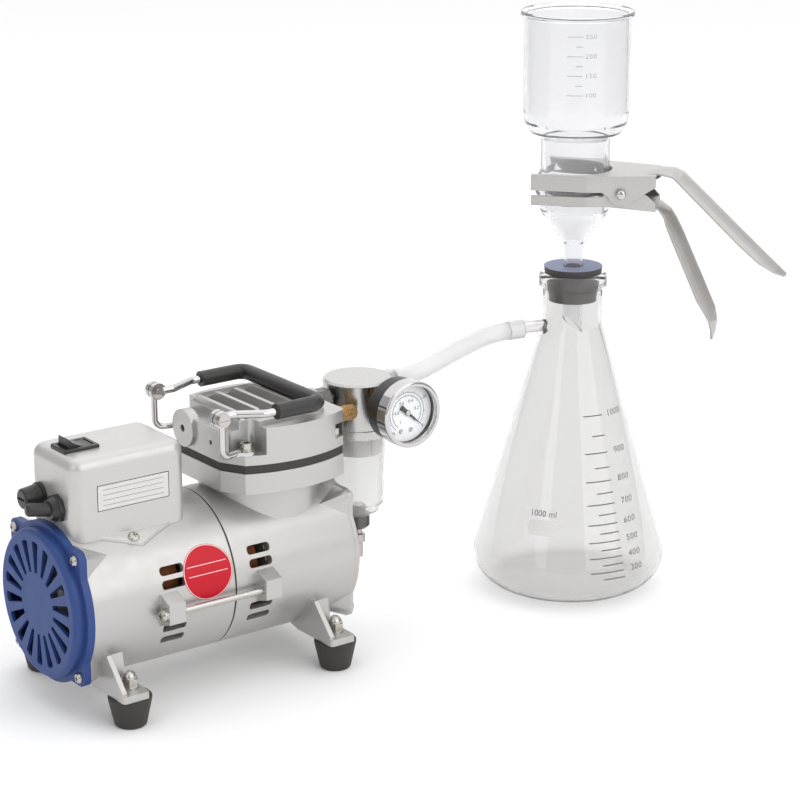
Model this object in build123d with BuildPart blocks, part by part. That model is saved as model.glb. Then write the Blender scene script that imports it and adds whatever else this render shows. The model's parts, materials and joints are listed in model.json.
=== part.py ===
from build123d import *
import math
import os

# Vacuum filtration set: an oil-free piston vacuum pump with a moisture trap and gauge,
# a hose, and a filter flask with a stopper, a glass filter base, a funnel and a clamp.
# Millimetres, +Z up, +X from the fan end of the pump to the flask, -Y is the front.

# Places of the two groups on the table
pump_x, pump_y = -144.1, 31.8
flask_x, flask_y = 160.5, 8.6

# Fits
fit_gap = 0.05
running_gap = 0.05
loose_gap = 0.3

# Barrel of the pump
axis_z = 69.9
barrel_r = 52.2
barrel_wall = 4.2
fan_end_x, pump_end_x = -98.0, 98.0
seam_x, seam_width = 4.8, 1.2
flange_half = barrel_r - 7.7
flange_corner = 6.0
flange_run = 20.0
flange_taper = 22.0
cover_screw_half = flange_half - 5.8
cover_shank_r, cover_screw_bite = 2.0, 6.5
vent_angles = (24.5, 14.7, -17.7, -28.5)
vent_length, vent_height, vent_corner = 17.0, 5.8, 2.2
vent_left_x, vent_right_x = -40.0, 24.8

# Tie rods and their ears
rod_y, rod_z, rod_r = barrel_r + 5.8, axis_z - 3.1, 2.15
ear_width = 12.0
ear_left_x, ear_right_x = -45.0, 27.0
ear_reach = barrel_r + 10.3
ear_root_y = barrel_r - 6.2

# Feet
foot_x, foot_y = 77.9, barrel_r + 4.25
foot_height, foot_top_r, foot_base_r = 20.2, 13.9, 10.3
leg_plate = 4.5
leg_left, leg_length, leg_width = 12.0, 19.0, 26.0
leg_riser, leg_wall = 14.0, 3.5
leg_side_y, leg_top_z = barrel_r - 2.2, axis_z - 23.9
bolt_r = 3.0

# Fan guard, end cover and their screws
guard_plate = 5.0
guard_depth = 12.0
guard_dome_r = barrel_r - 3.9
guard_wall = 2.6
guard_edge = 3.5
slot_count = 18
slot_inner_r, slot_outer_r = 20.5, 40.0
slot_inner_width, slot_outer_width = 2.8, 7.2
cover_plate = 3.7
cover_screw_r = 3.6

# Motor
shaft_r = 5.0
bearing_r = 13.0
bearing_width = 8.0
rear_bearing_x, front_bearing_x = -62.0, 37.0
stator_left_x, stator_right_x = -29.0, 14.0
stator_bore_r, air_gap = 26.6, 0.6
stator_teeth = 16
winding_inner_r, winding_outer_r, winding_run = 29.5, 43.5, 16.0
fan_x, fan_width, fan_r, fan_hub_r, fan_blades = -85.0, 15.0, 42.0, 11.0, 9

# Crank, rod and piston
neck_x = 57.0
crank_throw = 3.0
crank_pin_r = 6.0
crank_bearing_r, crank_bearing_width = 13.0, 10.0
web_thickness = 5.0
bore_r, sleeve_wall = 24.5, 2.5
sleeve_foot_z = axis_z + barrel_r - 10.1
rod_thickness = 9.0
piston_thickness = 5.0
piston_top_gap = 1.0
cup_thickness = 1.2

# Neck and cylinder head
neck_r = 40.0
flange_low_z = axis_z + barrel_r + 4.2
flange_top_z = flange_low_z + 14.0
band_top_z = flange_top_z + 5.7
head_top_z = band_top_z + 24.0
head_left_x, head_right_x = 11.5, 98.0
head_flat_y, head_shoulder_x, head_shoulder_y = 25.0, 20.4, 41.2
head_bulge_y, head_end_y = 50.0, 40.0
valve_plate_r = 31.0
chamber_top_z = head_top_z - 10.0
fin_top_z, fin_floor_z, fin_block_z = head_top_z + 6.5, head_top_z - 4.5, head_top_z + 2.5
fin_thickness, fin_pitch, fin_count = 3.0, 14.0, 5
fin_first_x = 27.0
fin_half_y, block_half_y = 31.0, 38.0
head_boss, head_boss_r, head_boss_y, head_boss_z = 2.0, 12.5, 16.5, head_top_z - 11.1
plug_hole_y, plug_hole_z, plug_hole_r = -14.4, head_top_z - 13.3, 1.6
head_ledge_z, block_left_x = head_top_z - 3.2, 23.5
screw_pocket_z = band_top_z + 6.4
head_screw_left_x, head_screw_right_x, head_screw_y = 24.5, 92.2, 36.5
head_screw_r = 3.0
head_screw_bite = 11.0
port_z = head_top_z - 6.5
port_r = 5.5
silencer_y, silencer_z = -21.0, head_top_z - 10.5

# Folding handle
pivot_x, pivot_y, pivot_z = 3.5, 37.0, head_top_z + 10.0
bail_rod_r = 2.6
grip_r = 5.2
bail_out_x, bail_y, bail_cross_x = 34.0, 45.5, 76.0
bail_z = pivot_z - 0.4
grip_start_x = 41.5
eye_r, eye_thickness = 5.6, 3.6

# Control box
box_left_x, box_right_x = -97.0, -15.0
box_front_y, box_back_y = -28.5, 27.5
box_top_z = head_top_z - 2.0
box_corner, box_edge, box_wall = 9.0, 8.0, 2.5
tab_tip_x, tab_tip_y, tab_half, tab_thickness = -53.7, -37.0, 37.0, 2.0
tab_screw_x, tab_shank_r = -58.0, 1.9
switch_x, switch_y = -79.5, -1.5
switch_length, switch_width, switch_rim = 25.0, 19.5, 2.0
rocker_length, rocker_width = 19.0, 12.5
rocker_tilt = 11.0
fuse_y, fuse_z, fuse_r = 13.1, box_top_z - 32.2, 6.0
fuse_cap_length = 11.5
gland_y, gland_z, gland_r = -9.0, box_top_z - 34.6, 8.6
capacitor_r, capacitor_length, capacitor_x = 15.0, 42.0, -40.0

# Moisture trap
trap_x, trap_y = 138.5, 2.1
trap_r, trap_top_z = 23.5, head_top_z + 4.9
collar_r, collar_low_z, collar_top_z = 24.2, trap_top_z - 38.4, trap_top_z - 32.4
bowl_r, bowl_foot_r, bowl_wall = 19.0, 17.4, 2.0
bowl_top_z = collar_low_z + 10.5
bowl_shoulder_z, bowl_low_z = bowl_top_z - 60.0, bowl_top_z - 69.5
baffle_r, baffle_low_z = 15.6, bowl_top_z - 24.5
drain_r = 7.8
barb_z = trap_top_z - 6.9

# Gauge
gauge_z = trap_top_z - 11.7
gauge_front_y = -61.3
gauge_depth = 23.0
gauge_case_r, gauge_bezel_r, gauge_window_r = 21.2, 22.4, 19.4
bezel_depth = 10.0
pointer_angle = -41.0

# Hose
hose_r, hose_bore_r = 6.2, 3.8
barb_length = 11.0

# Filter flask
flask_height, flask_neck_length = 227.5, 36.7
flask_cone_r = 75.5
flask_heel, flask_shoulder = 24.0, 80.0
flask_neck_r, flask_wall = 20.8, 2.4
flask_bead_r, flask_bead_height = 23.6, 11.0
shoulder_z = flask_height - flask_neck_length
flask_cone_slope = (flask_cone_r - flask_neck_r) / shoulder_z
arm_angle, arm_z = 165.0, shoulder_z - 0.8
arm_root_r, arm_reach = 5.2, 39.0

# Stopper
stopper_length = 24.0
stopper_top_z = flask_height + 4.5
stopper_low_z = stopper_top_z - stopper_length
stopper_top_r, stopper_low_r = 20.3, 16.6

# Filter base and funnel
stem_r, stem_wall, stem_tip_z = 6.9, 1.5, stopper_low_z - 25.0
cone_low_z = stopper_top_z + 16.0
cone_top_z = cone_low_z + 21.0
joint_z = cone_top_z + 20.0
neck_glass_r, lip_r = 23.6, 27.0
glass_wall = 2.2
lip_thickness, lip_flare = 5.0, 5.5
disc_thickness = 4.0
funnel_neck_top_z = joint_z + 33.0
funnel_body_z = funnel_neck_top_z + 15.0
funnel_top_z = funnel_body_z + 72.0
funnel_r, funnel_rim_r = 36.2, 38.6

# Clamp
clamp_angle = -47.5
fork_tip, fork_slot_r = -26.0, 25.6
jaw_half, jaw_sheet = 30.2, 1.2
jaw_waist, jaw_taper_start, jaw_end = 18.5, 12.0, 57.5
jaw_gap, jaw_waist_gap = 0.4, 2.2
jaw_nose = 22.0
jaw_plate_lift, lower_plate_drop = 10.9, 7.9
clamp_pin_s, clamp_pin_r, ear_radius = 35.0, 2.5, 9.0
handle_half = 13.5


def spot(x, y, z):
    """A point given in the pump's own coordinates."""
    return (pump_x + x, pump_y + y, z)


def facing_right(x, y=0.0, z=axis_z):
    """Plane square to the motor axis: sketch x is +Y, sketch y is +Z."""
    return Plane(origin=spot(x, y, z), x_dir=(0, 1, 0), z_dir=(1, 0, 0))


def facing_left(x, y=0.0, z=axis_z):
    return Plane(origin=spot(x, y, z), x_dir=(0, -1, 0), z_dir=(-1, 0, 0))


def facing_front(x, y, z):
    """Plane square to Y: sketch x is +X, sketch y is +Z, and it grows to the front."""
    return Plane(origin=spot(x, y, z), x_dir=(1, 0, 0), z_dir=(0, -1, 0))


def facing_up(x, y, z):
    return Plane(origin=spot(x, y, z))


def upright(x, y):
    """Plane that holds a vertical axis: sketch x is the radius, sketch y the height."""
    return Plane(origin=(x, y, 0), x_dir=(1, 0, 0), z_dir=(0, -1, 0))


def vertical(x, y):
    return Axis((x, y, 0), (0, 0, 1))


motor_axis = Axis(spot(0, 0, axis_z), (1, 0, 0))
trap_at = (pump_x + trap_x, pump_y + trap_y)
flask_at = (flask_x, flask_y)


def lathe(points, plane, mode=Mode.ADD):
    """Solid of revolution about the plane's own normal from (radius, height) points."""
    with BuildSketch(Plane(origin=plane.origin, x_dir=plane.x_dir, z_dir=-plane.y_dir)) as profile:
        with BuildLine():
            Polyline(*points, close=True)
        make_face()
    revolve(profile.sketch, axis=Axis(plane.origin, plane.z_dir), mode=mode)


def turn_upright(points, at):
    """Solid of revolution about a vertical axis from (radius, height) points."""
    lathe(points, Plane(origin=(*at, 0)))


def keep(piece, name):
    piece.part.label = name
    export_step(piece.part, f"parts/{name}.step")


os.makedirs("parts", exist_ok=True)


# Barrel halves

def end_outline():
    """Outline of both end flanges: a disc with four rounded corners."""
    Circle(barrel_r)
    RectangleRounded(2 * flange_half, 2 * flange_half, flange_corner)


def barrel_shape(plane, length, mode=Mode.ADD):
    """Round barrel whose end runs out into the square flange."""
    with BuildSketch(plane) as profile:
        Circle(barrel_r)
    extrude(profile.sketch, amount=length, mode=mode)
    with BuildSketch(plane) as profile:
        RectangleRounded(2 * flange_half, 2 * flange_half, flange_corner)
    extrude(profile.sketch, amount=flange_run, taper=flange_taper, mode=mode)


def legs(x):
    """Two cast legs: foot plate, sloped riser to the barrel and a wall on the fan side."""
    left_x = x - leg_left
    with BuildSketch(facing_up(left_x + leg_length / 2, 0, foot_height)) as profile:
        with Locations((0, -foot_y - 0.5), (0, foot_y + 0.5)):
            RectangleRounded(leg_length, leg_width, 2.5)
    extrude(profile.sketch, amount=leg_plate)
    plate_top = foot_height + leg_plate
    for side in (-1, 1):
        riser = [(side * (leg_side_y - 4), foot_height), (side * leg_side_y, foot_height),
                 (side * leg_side_y, plate_top), (side * (leg_side_y - 5), leg_top_z),
                 (side * 20, leg_top_z - 6), (side * 22, foot_height + 2), (side * 30, foot_height)]
        with BuildSketch(facing_right(left_x, 0, 0)) as profile:
            Polygon(*riser, align=None)
        extrude(profile.sketch, amount=leg_riser)
        outer_y, inner_y = foot_y + 11.55, leg_side_y - 10
        wall = [(side * outer_y, plate_top - 1), (side * outer_y, plate_top + 2),
                (side * leg_side_y, leg_top_z), (side * inner_y, leg_top_z), (side * inner_y, plate_top - 1)]
        with BuildSketch(facing_right(left_x, 0, 0)) as profile:
            Polygon(*wall, align=None)
        extrude(profile.sketch, amount=leg_wall)


def leg_holes(x):
    with BuildSketch(facing_up(x, 0, foot_height)) as profile:
        with Locations((0, -foot_y), (0, foot_y)):
            Circle(bolt_r + fit_gap)
    extrude(profile.sketch, amount=leg_plate, mode=Mode.SUBTRACT)


def ears(x):
    """Front and rear ear that a tie rod passes."""
    for side in (-1, 1):
        ear = [(side * ear_root_y, rod_z + 13.2), (side * (ear_root_y + 5), rod_z + 12.2),
               (side * ear_reach, rod_z + 7.2), (side * ear_reach, rod_z - 5.8),
               (side * (ear_root_y + 4), rod_z - 9.8), (side * ear_root_y, rod_z - 9.8)]
        with BuildSketch(facing_right(x - ear_width / 2, 0, 0)) as profile:
            Polygon(*ear, align=None)
        extrude(profile.sketch, amount=ear_width)


def ear_holes(x):
    with BuildSketch(facing_right(x - ear_width / 2, 0, rod_z)) as profile:
        with Locations((-rod_y, 0), (rod_y, 0)):
            Circle(rod_r + fit_gap)
    extrude(profile.sketch, amount=ear_width, mode=Mode.SUBTRACT)


def vents(x):
    """Two columns of rounded cooling slots, front and rear."""
    for side in (-1, 1):
        for angle in vent_angles:
            out = (0, side * math.cos(math.radians(angle)), math.sin(math.radians(angle)))
            centre = spot(x, out[1] * barrel_r, axis_z + out[2] * barrel_r)
            with BuildSketch(Plane(origin=centre, x_dir=(1, 0, 0), z_dir=out)) as profile:
                RectangleRounded(vent_length, vent_height, vent_corner)
            extrude(profile.sketch, amount=barrel_wall + 3, both=True, mode=Mode.SUBTRACT)


def bored(x_from, x_to, radius):
    """Round chamber about the motor axis."""
    with BuildSketch(facing_right(x_from)) as profile:
        Circle(radius)
    extrude(profile.sketch, amount=x_to - x_from, mode=Mode.SUBTRACT)


def screw_holes_four(x, depth):
    with BuildSketch(facing_right(x)) as profile:
        with GridLocations(2 * cover_screw_half, 2 * cover_screw_half, 2, 2):
            Circle(cover_shank_r + fit_gap)
    extrude(profile.sketch, amount=depth, mode=Mode.SUBTRACT)


tab_angle = math.asin((-tab_tip_y - 4.0) / (barrel_r + tab_thickness))
tab_out = (0, -math.sin(tab_angle), math.cos(tab_angle))
tab_screw_spot = spot(tab_screw_x, tab_out[1] * (barrel_r + tab_thickness),
                      axis_z + tab_out[2] * (barrel_r + tab_thickness))
tab_screw_plane = Plane(origin=tab_screw_spot, x_dir=(1, 0, 0), z_dir=tab_out)

chamber_r = barrel_r - barrel_wall
seam_left, seam_right = seam_x - seam_width / 2, seam_x + seam_width / 2
bearing_half = bearing_width / 2

with BuildPart() as motor_housing:
    barrel_shape(facing_right(fan_end_x), seam_left - fan_end_x)
    legs(-foot_x)
    ears(ear_left_x)
    bored(fan_end_x, rear_bearing_x - bearing_half, chamber_r)
    bored(rear_bearing_x + bearing_half, seam_left, chamber_r)
    bored(rear_bearing_x - bearing_half, rear_bearing_x + bearing_half, bearing_r)
    with BuildSketch(facing_right(rear_bearing_x - bearing_half)):
        with PolarLocations(31, 5, start_angle=90):
            Circle(12.5)
    extrude(amount=bearing_width, mode=Mode.SUBTRACT)
    leg_holes(-foot_x)
    ear_holes(ear_left_x)
    vents(vent_left_x)
    screw_holes_four(fan_end_x, cover_screw_bite + 0.5)
    with BuildSketch(tab_screw_plane):
        Circle(tab_shank_r + fit_gap)
    extrude(amount=-tab_thickness - barrel_wall - 2, mode=Mode.SUBTRACT)
keep(motor_housing, "motor_housing")


def head_plan(inset=0.0):
    """Plan of the cylinder head: flat ends, chamfered corners and bowed long sides."""
    with BuildLine() as outline:
        Polyline((head_shoulder_x, head_shoulder_y), (head_left_x, head_flat_y),
                 (head_left_x, -head_flat_y), (head_shoulder_x, -head_shoulder_y))
        ThreePointArc((head_shoulder_x, -head_shoulder_y), (neck_x, -head_bulge_y),
                      (head_right_x - 1.5, -head_end_y - 1))
        Polyline((head_right_x - 1.5, -head_end_y - 1), (head_right_x, -head_end_y + 1.5),
                 (head_right_x, head_end_y - 1.5), (head_right_x - 1.5, head_end_y + 1))
        ThreePointArc((head_right_x - 1.5, head_end_y + 1), (neck_x, head_bulge_y),
                      (head_shoulder_x, head_shoulder_y))
    make_face(outline.edges())
    if inset:
        offset(amount=-inset, mode=Mode.REPLACE)


sleeve_r = bore_r + sleeve_wall
head_screw_spots = [(x, side * head_screw_y) for x in (head_screw_left_x, head_screw_right_x)
                    for side in (-1, 1)]

with BuildPart() as crankcase_housing:
    barrel_shape(facing_left(pump_end_x), pump_end_x - seam_right)
    legs(foot_x)
    ears(ear_right_x)
    with BuildSketch(facing_up(neck_x, 0, axis_z)):
        Circle(neck_r)
    extrude(amount=flange_low_z - axis_z)
    with BuildSketch(facing_up(0, 0, flange_low_z)):
        head_plan()
    extrude(amount=flange_top_z - flange_low_z)
    bored(seam_right, front_bearing_x - bearing_half, chamber_r)
    bored(front_bearing_x + bearing_half, pump_end_x, chamber_r)
    bored(front_bearing_x - bearing_half, front_bearing_x + bearing_half, bearing_r)
    with BuildSketch(facing_up(neck_x, 0, sleeve_foot_z)):
        Circle(sleeve_r + fit_gap)
    extrude(amount=flange_top_z - sleeve_foot_z, mode=Mode.SUBTRACT)
    with BuildSketch(facing_up(0, 0, flange_top_z - 12)):
        with Locations(*head_screw_spots):
            Circle(head_screw_r)
    extrude(amount=12, mode=Mode.SUBTRACT)
    leg_holes(foot_x)
    ear_holes(ear_right_x)
    vents(vent_right_x)
    screw_holes_four(pump_end_x - cover_screw_bite - 0.5, cover_screw_bite + 0.5)
keep(crankcase_housing, "crankcase_housing")

with BuildPart() as seam_gasket:
    with BuildSketch(facing_right(seam_left)):
        Circle(barrel_r - 0.5)
        Circle(chamber_r, mode=Mode.SUBTRACT)
    extrude(amount=seam_width)
keep(seam_gasket, "seam_gasket")


# Fan guard and end cover

def radial_slot():
    """One tapered slot that lies along sketch x, from the hub disc to the rim."""
    with BuildLine() as outline:
        Polyline((slot_inner_r, -slot_inner_width / 2), (slot_outer_r, -slot_outer_width / 2))
        ThreePointArc((slot_outer_r, -slot_outer_width / 2), (slot_outer_r + 1.2, 0),
                      (slot_outer_r, slot_outer_width / 2))
        Polyline((slot_outer_r, slot_outer_width / 2), (slot_inner_r, slot_inner_width / 2),
                 (slot_inner_r, -slot_inner_width / 2))
    make_face(outline.edges())


with BuildPart() as fan_guard:
    with BuildSketch(facing_left(fan_end_x)):
        end_outline()
    extrude(amount=guard_plate)
    with BuildSketch(facing_left(fan_end_x)):
        Circle(guard_dome_r)
    extrude(amount=guard_depth)
    fillet(fan_guard.faces().sort_by(Axis.X)[0].edges(), guard_edge)
    with BuildSketch(facing_left(fan_end_x)):
        Circle(guard_dome_r - guard_wall)
    extrude(amount=guard_depth - guard_wall, mode=Mode.SUBTRACT)
    for slot in range(slot_count):
        angle = 2 * math.pi * (slot + 0.5) / slot_count
        along = (0, math.cos(angle), math.sin(angle))
        with BuildSketch(Plane(origin=spot(fan_end_x, 0, axis_z), x_dir=along, z_dir=(-1, 0, 0))):
            radial_slot()
        extrude(amount=guard_depth, mode=Mode.SUBTRACT)
    with BuildSketch(facing_left(fan_end_x)):
        with GridLocations(2 * cover_screw_half, 2 * cover_screw_half, 2, 2):
            Circle(cover_shank_r + fit_gap)
    extrude(amount=guard_plate, mode=Mode.SUBTRACT)
keep(fan_guard, "fan_guard")

with BuildPart() as end_cover:
    with BuildSketch(facing_right(pump_end_x)):
        end_outline()
    extrude(amount=cover_plate)
    chamfer(end_cover.faces().sort_by(Axis.X)[-1].edges(), 0.8)
    with BuildSketch(facing_right(pump_end_x)):
        with GridLocations(2 * cover_screw_half, 2 * cover_screw_half, 2, 2):
            Circle(cover_shank_r + fit_gap)
    extrude(amount=cover_plate, mode=Mode.SUBTRACT)
keep(end_cover, "end_cover")


def pan_screw(plane, head_r, head_height, shank_r, shank_length):
    """Pan head with a cross recess on the plane's outer side, shank on its inner side."""
    lathe([(0, 0), (head_r, 0), (head_r, head_height * 0.4), (head_r * 0.75, head_height * 0.88),
            (head_r * 0.4, head_height), (0, head_height)], plane)
    with BuildSketch(plane.offset(head_height)) as profile:
        Rectangle(head_r, head_r * 0.26)
        Rectangle(head_r * 0.26, head_r)
    extrude(profile.sketch, amount=-head_height * 0.45, mode=Mode.SUBTRACT)
    with BuildSketch(plane) as profile:
        Circle(shank_r)
    extrude(profile.sketch, amount=-shank_length)


with BuildPart() as cover_screws:
    for y in (-cover_screw_half, cover_screw_half):
        for z in (axis_z - cover_screw_half, axis_z + cover_screw_half):
            pan_screw(facing_left(fan_end_x - guard_plate, y, z), cover_screw_r, 2.6, cover_shank_r,
                      guard_plate + cover_screw_bite)
            pan_screw(facing_right(pump_end_x + cover_plate, y, z), cover_screw_r, 2.6, cover_shank_r,
                      cover_plate + cover_screw_bite)
    pan_screw(tab_screw_plane, cover_screw_r, 2.4, tab_shank_r, tab_thickness + barrel_wall - 0.2)
keep(cover_screws, "cover_screws")


# Motor

with BuildPart() as motor_bearings:
    for x in (rear_bearing_x, front_bearing_x):
        with BuildSketch(facing_right(x - bearing_half)):
            Circle(bearing_r - fit_gap)
            Circle(shaft_r + running_gap, mode=Mode.SUBTRACT)
        extrude(amount=bearing_width)
        for face_x, plane in ((x - bearing_half, facing_right), (x + bearing_half, facing_left)):
            with BuildSketch(plane(face_x)):
                Circle(bearing_r - 2.2)
                Circle(shaft_r + 2.2, mode=Mode.SUBTRACT)
            extrude(amount=0.6, mode=Mode.SUBTRACT)
keep(motor_bearings, "motor_bearings")

with BuildPart() as stator_core:
    with BuildSketch(facing_right(stator_left_x)):
        Circle(chamber_r - fit_gap)
        Circle(stator_bore_r, mode=Mode.SUBTRACT)
        with PolarLocations(36, stator_teeth):
            SlotOverall(13, 5, mode=Mode.SUBTRACT)
    extrude(amount=stator_right_x - stator_left_x)
keep(stator_core, "stator_core")

with BuildPart() as stator_windings:
    for x_from, direction in ((stator_left_x, -1), (stator_right_x, 1)):
        ring_middle = (winding_inner_r + winding_outer_r) / 2
        with BuildSketch(facing_front(0, 0, axis_z)):
            with Locations((x_from + direction * winding_run / 2, ring_middle)):
                RectangleRounded(winding_run, winding_outer_r - winding_inner_r, 5)
        revolve(axis=motor_axis)
keep(stator_windings, "stator_windings")

rotor_r = stator_bore_r - air_gap
with BuildPart() as rotor_core:
    with BuildSketch(facing_right(stator_left_x - 2)):
        Circle(rotor_r)
        Circle(shaft_r + fit_gap, mode=Mode.SUBTRACT)
    extrude(amount=stator_right_x - stator_left_x + 4)
    with BuildSketch(facing_right(stator_left_x - 5)):
        with PolarLocations(20, 8):
            Rectangle(4, 2)
    extrude(amount=3.5)
keep(rotor_core, "rotor_core")

crank_left_x = neck_x - crank_bearing_width / 2 - 1.5
crank_right_x = neck_x + crank_bearing_width / 2 + 1.5
web_left_x = crank_left_x - web_thickness
with BuildPart() as crankshaft:
    with BuildSketch(facing_right(fan_x - fan_width / 2)):
        Circle(shaft_r)
    extrude(amount=web_left_x - fan_x + fan_width / 2 + 1)
    with BuildSketch(facing_right(web_left_x)):
        with Locations((0, -7)):
            Circle(19)
    extrude(amount=web_thickness)
    with BuildSketch(facing_right(web_left_x)):
        with Locations((0, crank_throw)):
            Circle(crank_pin_r)
    extrude(amount=crank_right_x - web_left_x)
    with BuildSketch(facing_right(crank_left_x)):
        with Locations((0, crank_throw)):
            Circle(crank_pin_r + 2)
    extrude(amount=1.2)
    with BuildSketch(facing_right(crank_right_x)):
        with Locations((0, crank_throw)):
            Circle(crank_pin_r + 2)
    extrude(amount=2)
keep(crankshaft, "crankshaft")

with BuildPart() as cooling_fan:
    with BuildSketch(facing_right(fan_x - fan_width / 2)):
        Circle(fan_hub_r)
        Circle(shaft_r + fit_gap, mode=Mode.SUBTRACT)
    extrude(amount=fan_width)
    for blade in range(fan_blades):
        angle = 2 * math.pi * blade / fan_blades
        radial = (0, math.cos(angle), math.sin(angle))
        root = Plane(origin=spot(fan_x, 0, axis_z), x_dir=(1, 0, 0), z_dir=radial)
        with BuildSketch(root.offset(fan_hub_r - 1.5)):
            Rectangle(fan_width, 2.0, rotation=38)
        extrude(amount=fan_r - fan_hub_r + 1.5)
keep(cooling_fan, "cooling_fan")


# Connecting rod and piston, at top dead centre

crank_z = axis_z + crank_throw
piston_top_z = flange_top_z - piston_top_gap
piston_r = bore_r - crank_throw - 0.9
big_end_r = crank_bearing_r + 5

with BuildPart() as crank_bearing:
    with BuildSketch(facing_right(neck_x - crank_bearing_width / 2, 0, crank_z)):
        Circle(crank_bearing_r - fit_gap)
        Circle(crank_pin_r + running_gap, mode=Mode.SUBTRACT)
    extrude(amount=crank_bearing_width)
keep(crank_bearing, "crank_bearing")

with BuildPart() as connecting_rod:
    with BuildSketch(facing_right(neck_x - rod_thickness / 2, 0, crank_z)):
        Circle(big_end_r)
        Polygon((-9, 10), (9, 10), (6.5, piston_top_z - crank_z - piston_thickness),
                (-6.5, piston_top_z - crank_z - piston_thickness), align=None)
        Circle(crank_bearing_r, mode=Mode.SUBTRACT)
    extrude(amount=rod_thickness)
    with BuildSketch(facing_up(neck_x, 0, piston_top_z - piston_thickness)):
        Circle(piston_r)
    extrude(amount=piston_thickness - cup_thickness)
    with BuildSketch(facing_up(neck_x, 0, piston_top_z - cup_thickness)):
        Circle(piston_r - 4)
    extrude(amount=cup_thickness)
keep(connecting_rod, "connecting_rod")

with BuildPart() as piston_cup:
    with BuildSketch(facing_up(neck_x, 0, piston_top_z - cup_thickness)):
        Circle(piston_r + 0.4)
        Circle(piston_r - 4 + fit_gap, mode=Mode.SUBTRACT)
    extrude(amount=cup_thickness)
keep(piston_cup, "piston_cup")

with BuildPart() as cylinder_sleeve:
    with BuildSketch(facing_up(neck_x, 0, sleeve_foot_z)):
        Circle(sleeve_r)
        Circle(bore_r, mode=Mode.SUBTRACT)
    extrude(amount=flange_top_z - sleeve_foot_z)
keep(cylinder_sleeve, "cylinder_sleeve")


# Valve plate, band and head

valve_ports = [(0, -10), (0, 10)]
band_thickness = band_top_z - flange_top_z
reed_thickness = 0.4

with BuildPart() as valve_plate:
    with BuildSketch(facing_up(neck_x, 0, flange_top_z)):
        Circle(valve_plate_r)
        with Locations(*valve_ports):
            Circle(3.5, mode=Mode.SUBTRACT)
    extrude(amount=band_thickness)
keep(valve_plate, "valve_plate")

with BuildPart() as reed_valves:
    with BuildSketch(facing_up(neck_x, -10, flange_top_z)):
        SlotOverall(30, 10)
    extrude(amount=-reed_thickness)
    with BuildSketch(facing_up(neck_x, 10, band_top_z)):
        SlotOverall(30, 10)
    extrude(amount=reed_thickness)
keep(reed_valves, "reed_valves")

with BuildPart() as head_gasket:
    with BuildSketch(facing_up(0, 0, flange_top_z)):
        head_plan(inset=0.6)
        with Locations((neck_x, 0)):
            Circle(valve_plate_r + fit_gap, mode=Mode.SUBTRACT)
        with Locations(*head_screw_spots):
            Circle(head_screw_r + fit_gap, mode=Mode.SUBTRACT)
    extrude(amount=band_thickness)
keep(head_gasket, "head_gasket")

fin_last_x = fin_first_x + (fin_count - 1) * fin_pitch
with BuildPart() as cylinder_head:
    with BuildSketch(facing_up(0, 0, band_top_z)):
        head_plan()
    extrude(amount=head_top_z - band_top_z)
    with BuildSketch(facing_up(head_left_x, 0, head_ledge_z)):
        Rectangle(2 * (block_left_x - head_left_x), 2 * head_bulge_y)
    extrude(amount=head_top_z - head_ledge_z, mode=Mode.SUBTRACT)
    with BuildSketch(facing_left(head_left_x + 5, head_boss_y, head_boss_z)):
        Circle(head_boss_r)
    extrude(amount=5 + head_boss)
    with BuildSketch(facing_up((block_left_x + fin_last_x + 3.5) / 2, 0, head_top_z)):
        RectangleRounded(fin_last_x + 3.5 - block_left_x, 2 * block_half_y, 6)
    extrude(amount=fin_block_z - head_top_z)
    with BuildSketch(facing_up(fin_first_x + fin_pitch / 2, 0, fin_floor_z)):
        with Locations(*[(fin_pitch * gap, 0) for gap in range(fin_count - 1)]):
            Rectangle(fin_pitch - fin_thickness, 2 * fin_half_y - 5)
    extrude(amount=fin_top_z, mode=Mode.SUBTRACT)
    for fin in range(fin_count):
        x = fin_first_x + fin * fin_pitch
        with BuildSketch(facing_right(x - fin_thickness / 2, 0, 0)):
            Polygon((-fin_half_y + 1, fin_block_z - 1), (-fin_half_y + 7, fin_top_z),
                    (fin_half_y - 7, fin_top_z), (fin_half_y - 1, fin_block_z - 1), align=None)
        extrude(amount=fin_thickness)
    for side in (-1, 1):
        with BuildSketch(facing_up(head_screw_left_x - 1, side * (head_screw_y + 6), screw_pocket_z)):
            RectangleRounded(20, 25.5, 4)
        extrude(amount=fin_top_z - screw_pocket_z, mode=Mode.SUBTRACT)
        with BuildSketch(facing_up(head_screw_right_x, side * (head_screw_y + 3), screw_pocket_z)):
            RectangleRounded(9, 15, 3)
        extrude(amount=9.6, mode=Mode.SUBTRACT)
    with BuildSketch(facing_up(0, 0, screw_pocket_z)):
        with Locations(*head_screw_spots):
            Circle(head_screw_r + fit_gap)
    extrude(amount=-(screw_pocket_z - band_top_z), mode=Mode.SUBTRACT)
    with BuildSketch(facing_up(neck_x, 0, band_top_z)):
        with Locations((0, -13), (0, 13)):
            RectangleRounded(46, 20, 5)
    extrude(amount=chamber_top_z - band_top_z, mode=Mode.SUBTRACT)
    with BuildSketch(facing_right(head_right_x - 1, trap_y, port_z)):
        Circle(9.5)
    extrude(amount=5.5)
    with BuildSketch(facing_right(head_right_x + 4.5, trap_y, port_z)):
        Circle(port_r)
    extrude(amount=-14, mode=Mode.SUBTRACT)
    with BuildSketch(facing_right(head_right_x, silencer_y, silencer_z)):
        Circle(port_r - 1)
    extrude(amount=-8, mode=Mode.SUBTRACT)
    with BuildSketch(facing_left(head_left_x - head_boss, head_boss_y, head_boss_z)):
        Circle(2.4)
    extrude(amount=-8, mode=Mode.SUBTRACT)
    with BuildSketch(facing_left(head_left_x, plug_hole_y, plug_hole_z)):
        Circle(plug_hole_r)
    extrude(amount=-6, mode=Mode.SUBTRACT)
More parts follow.
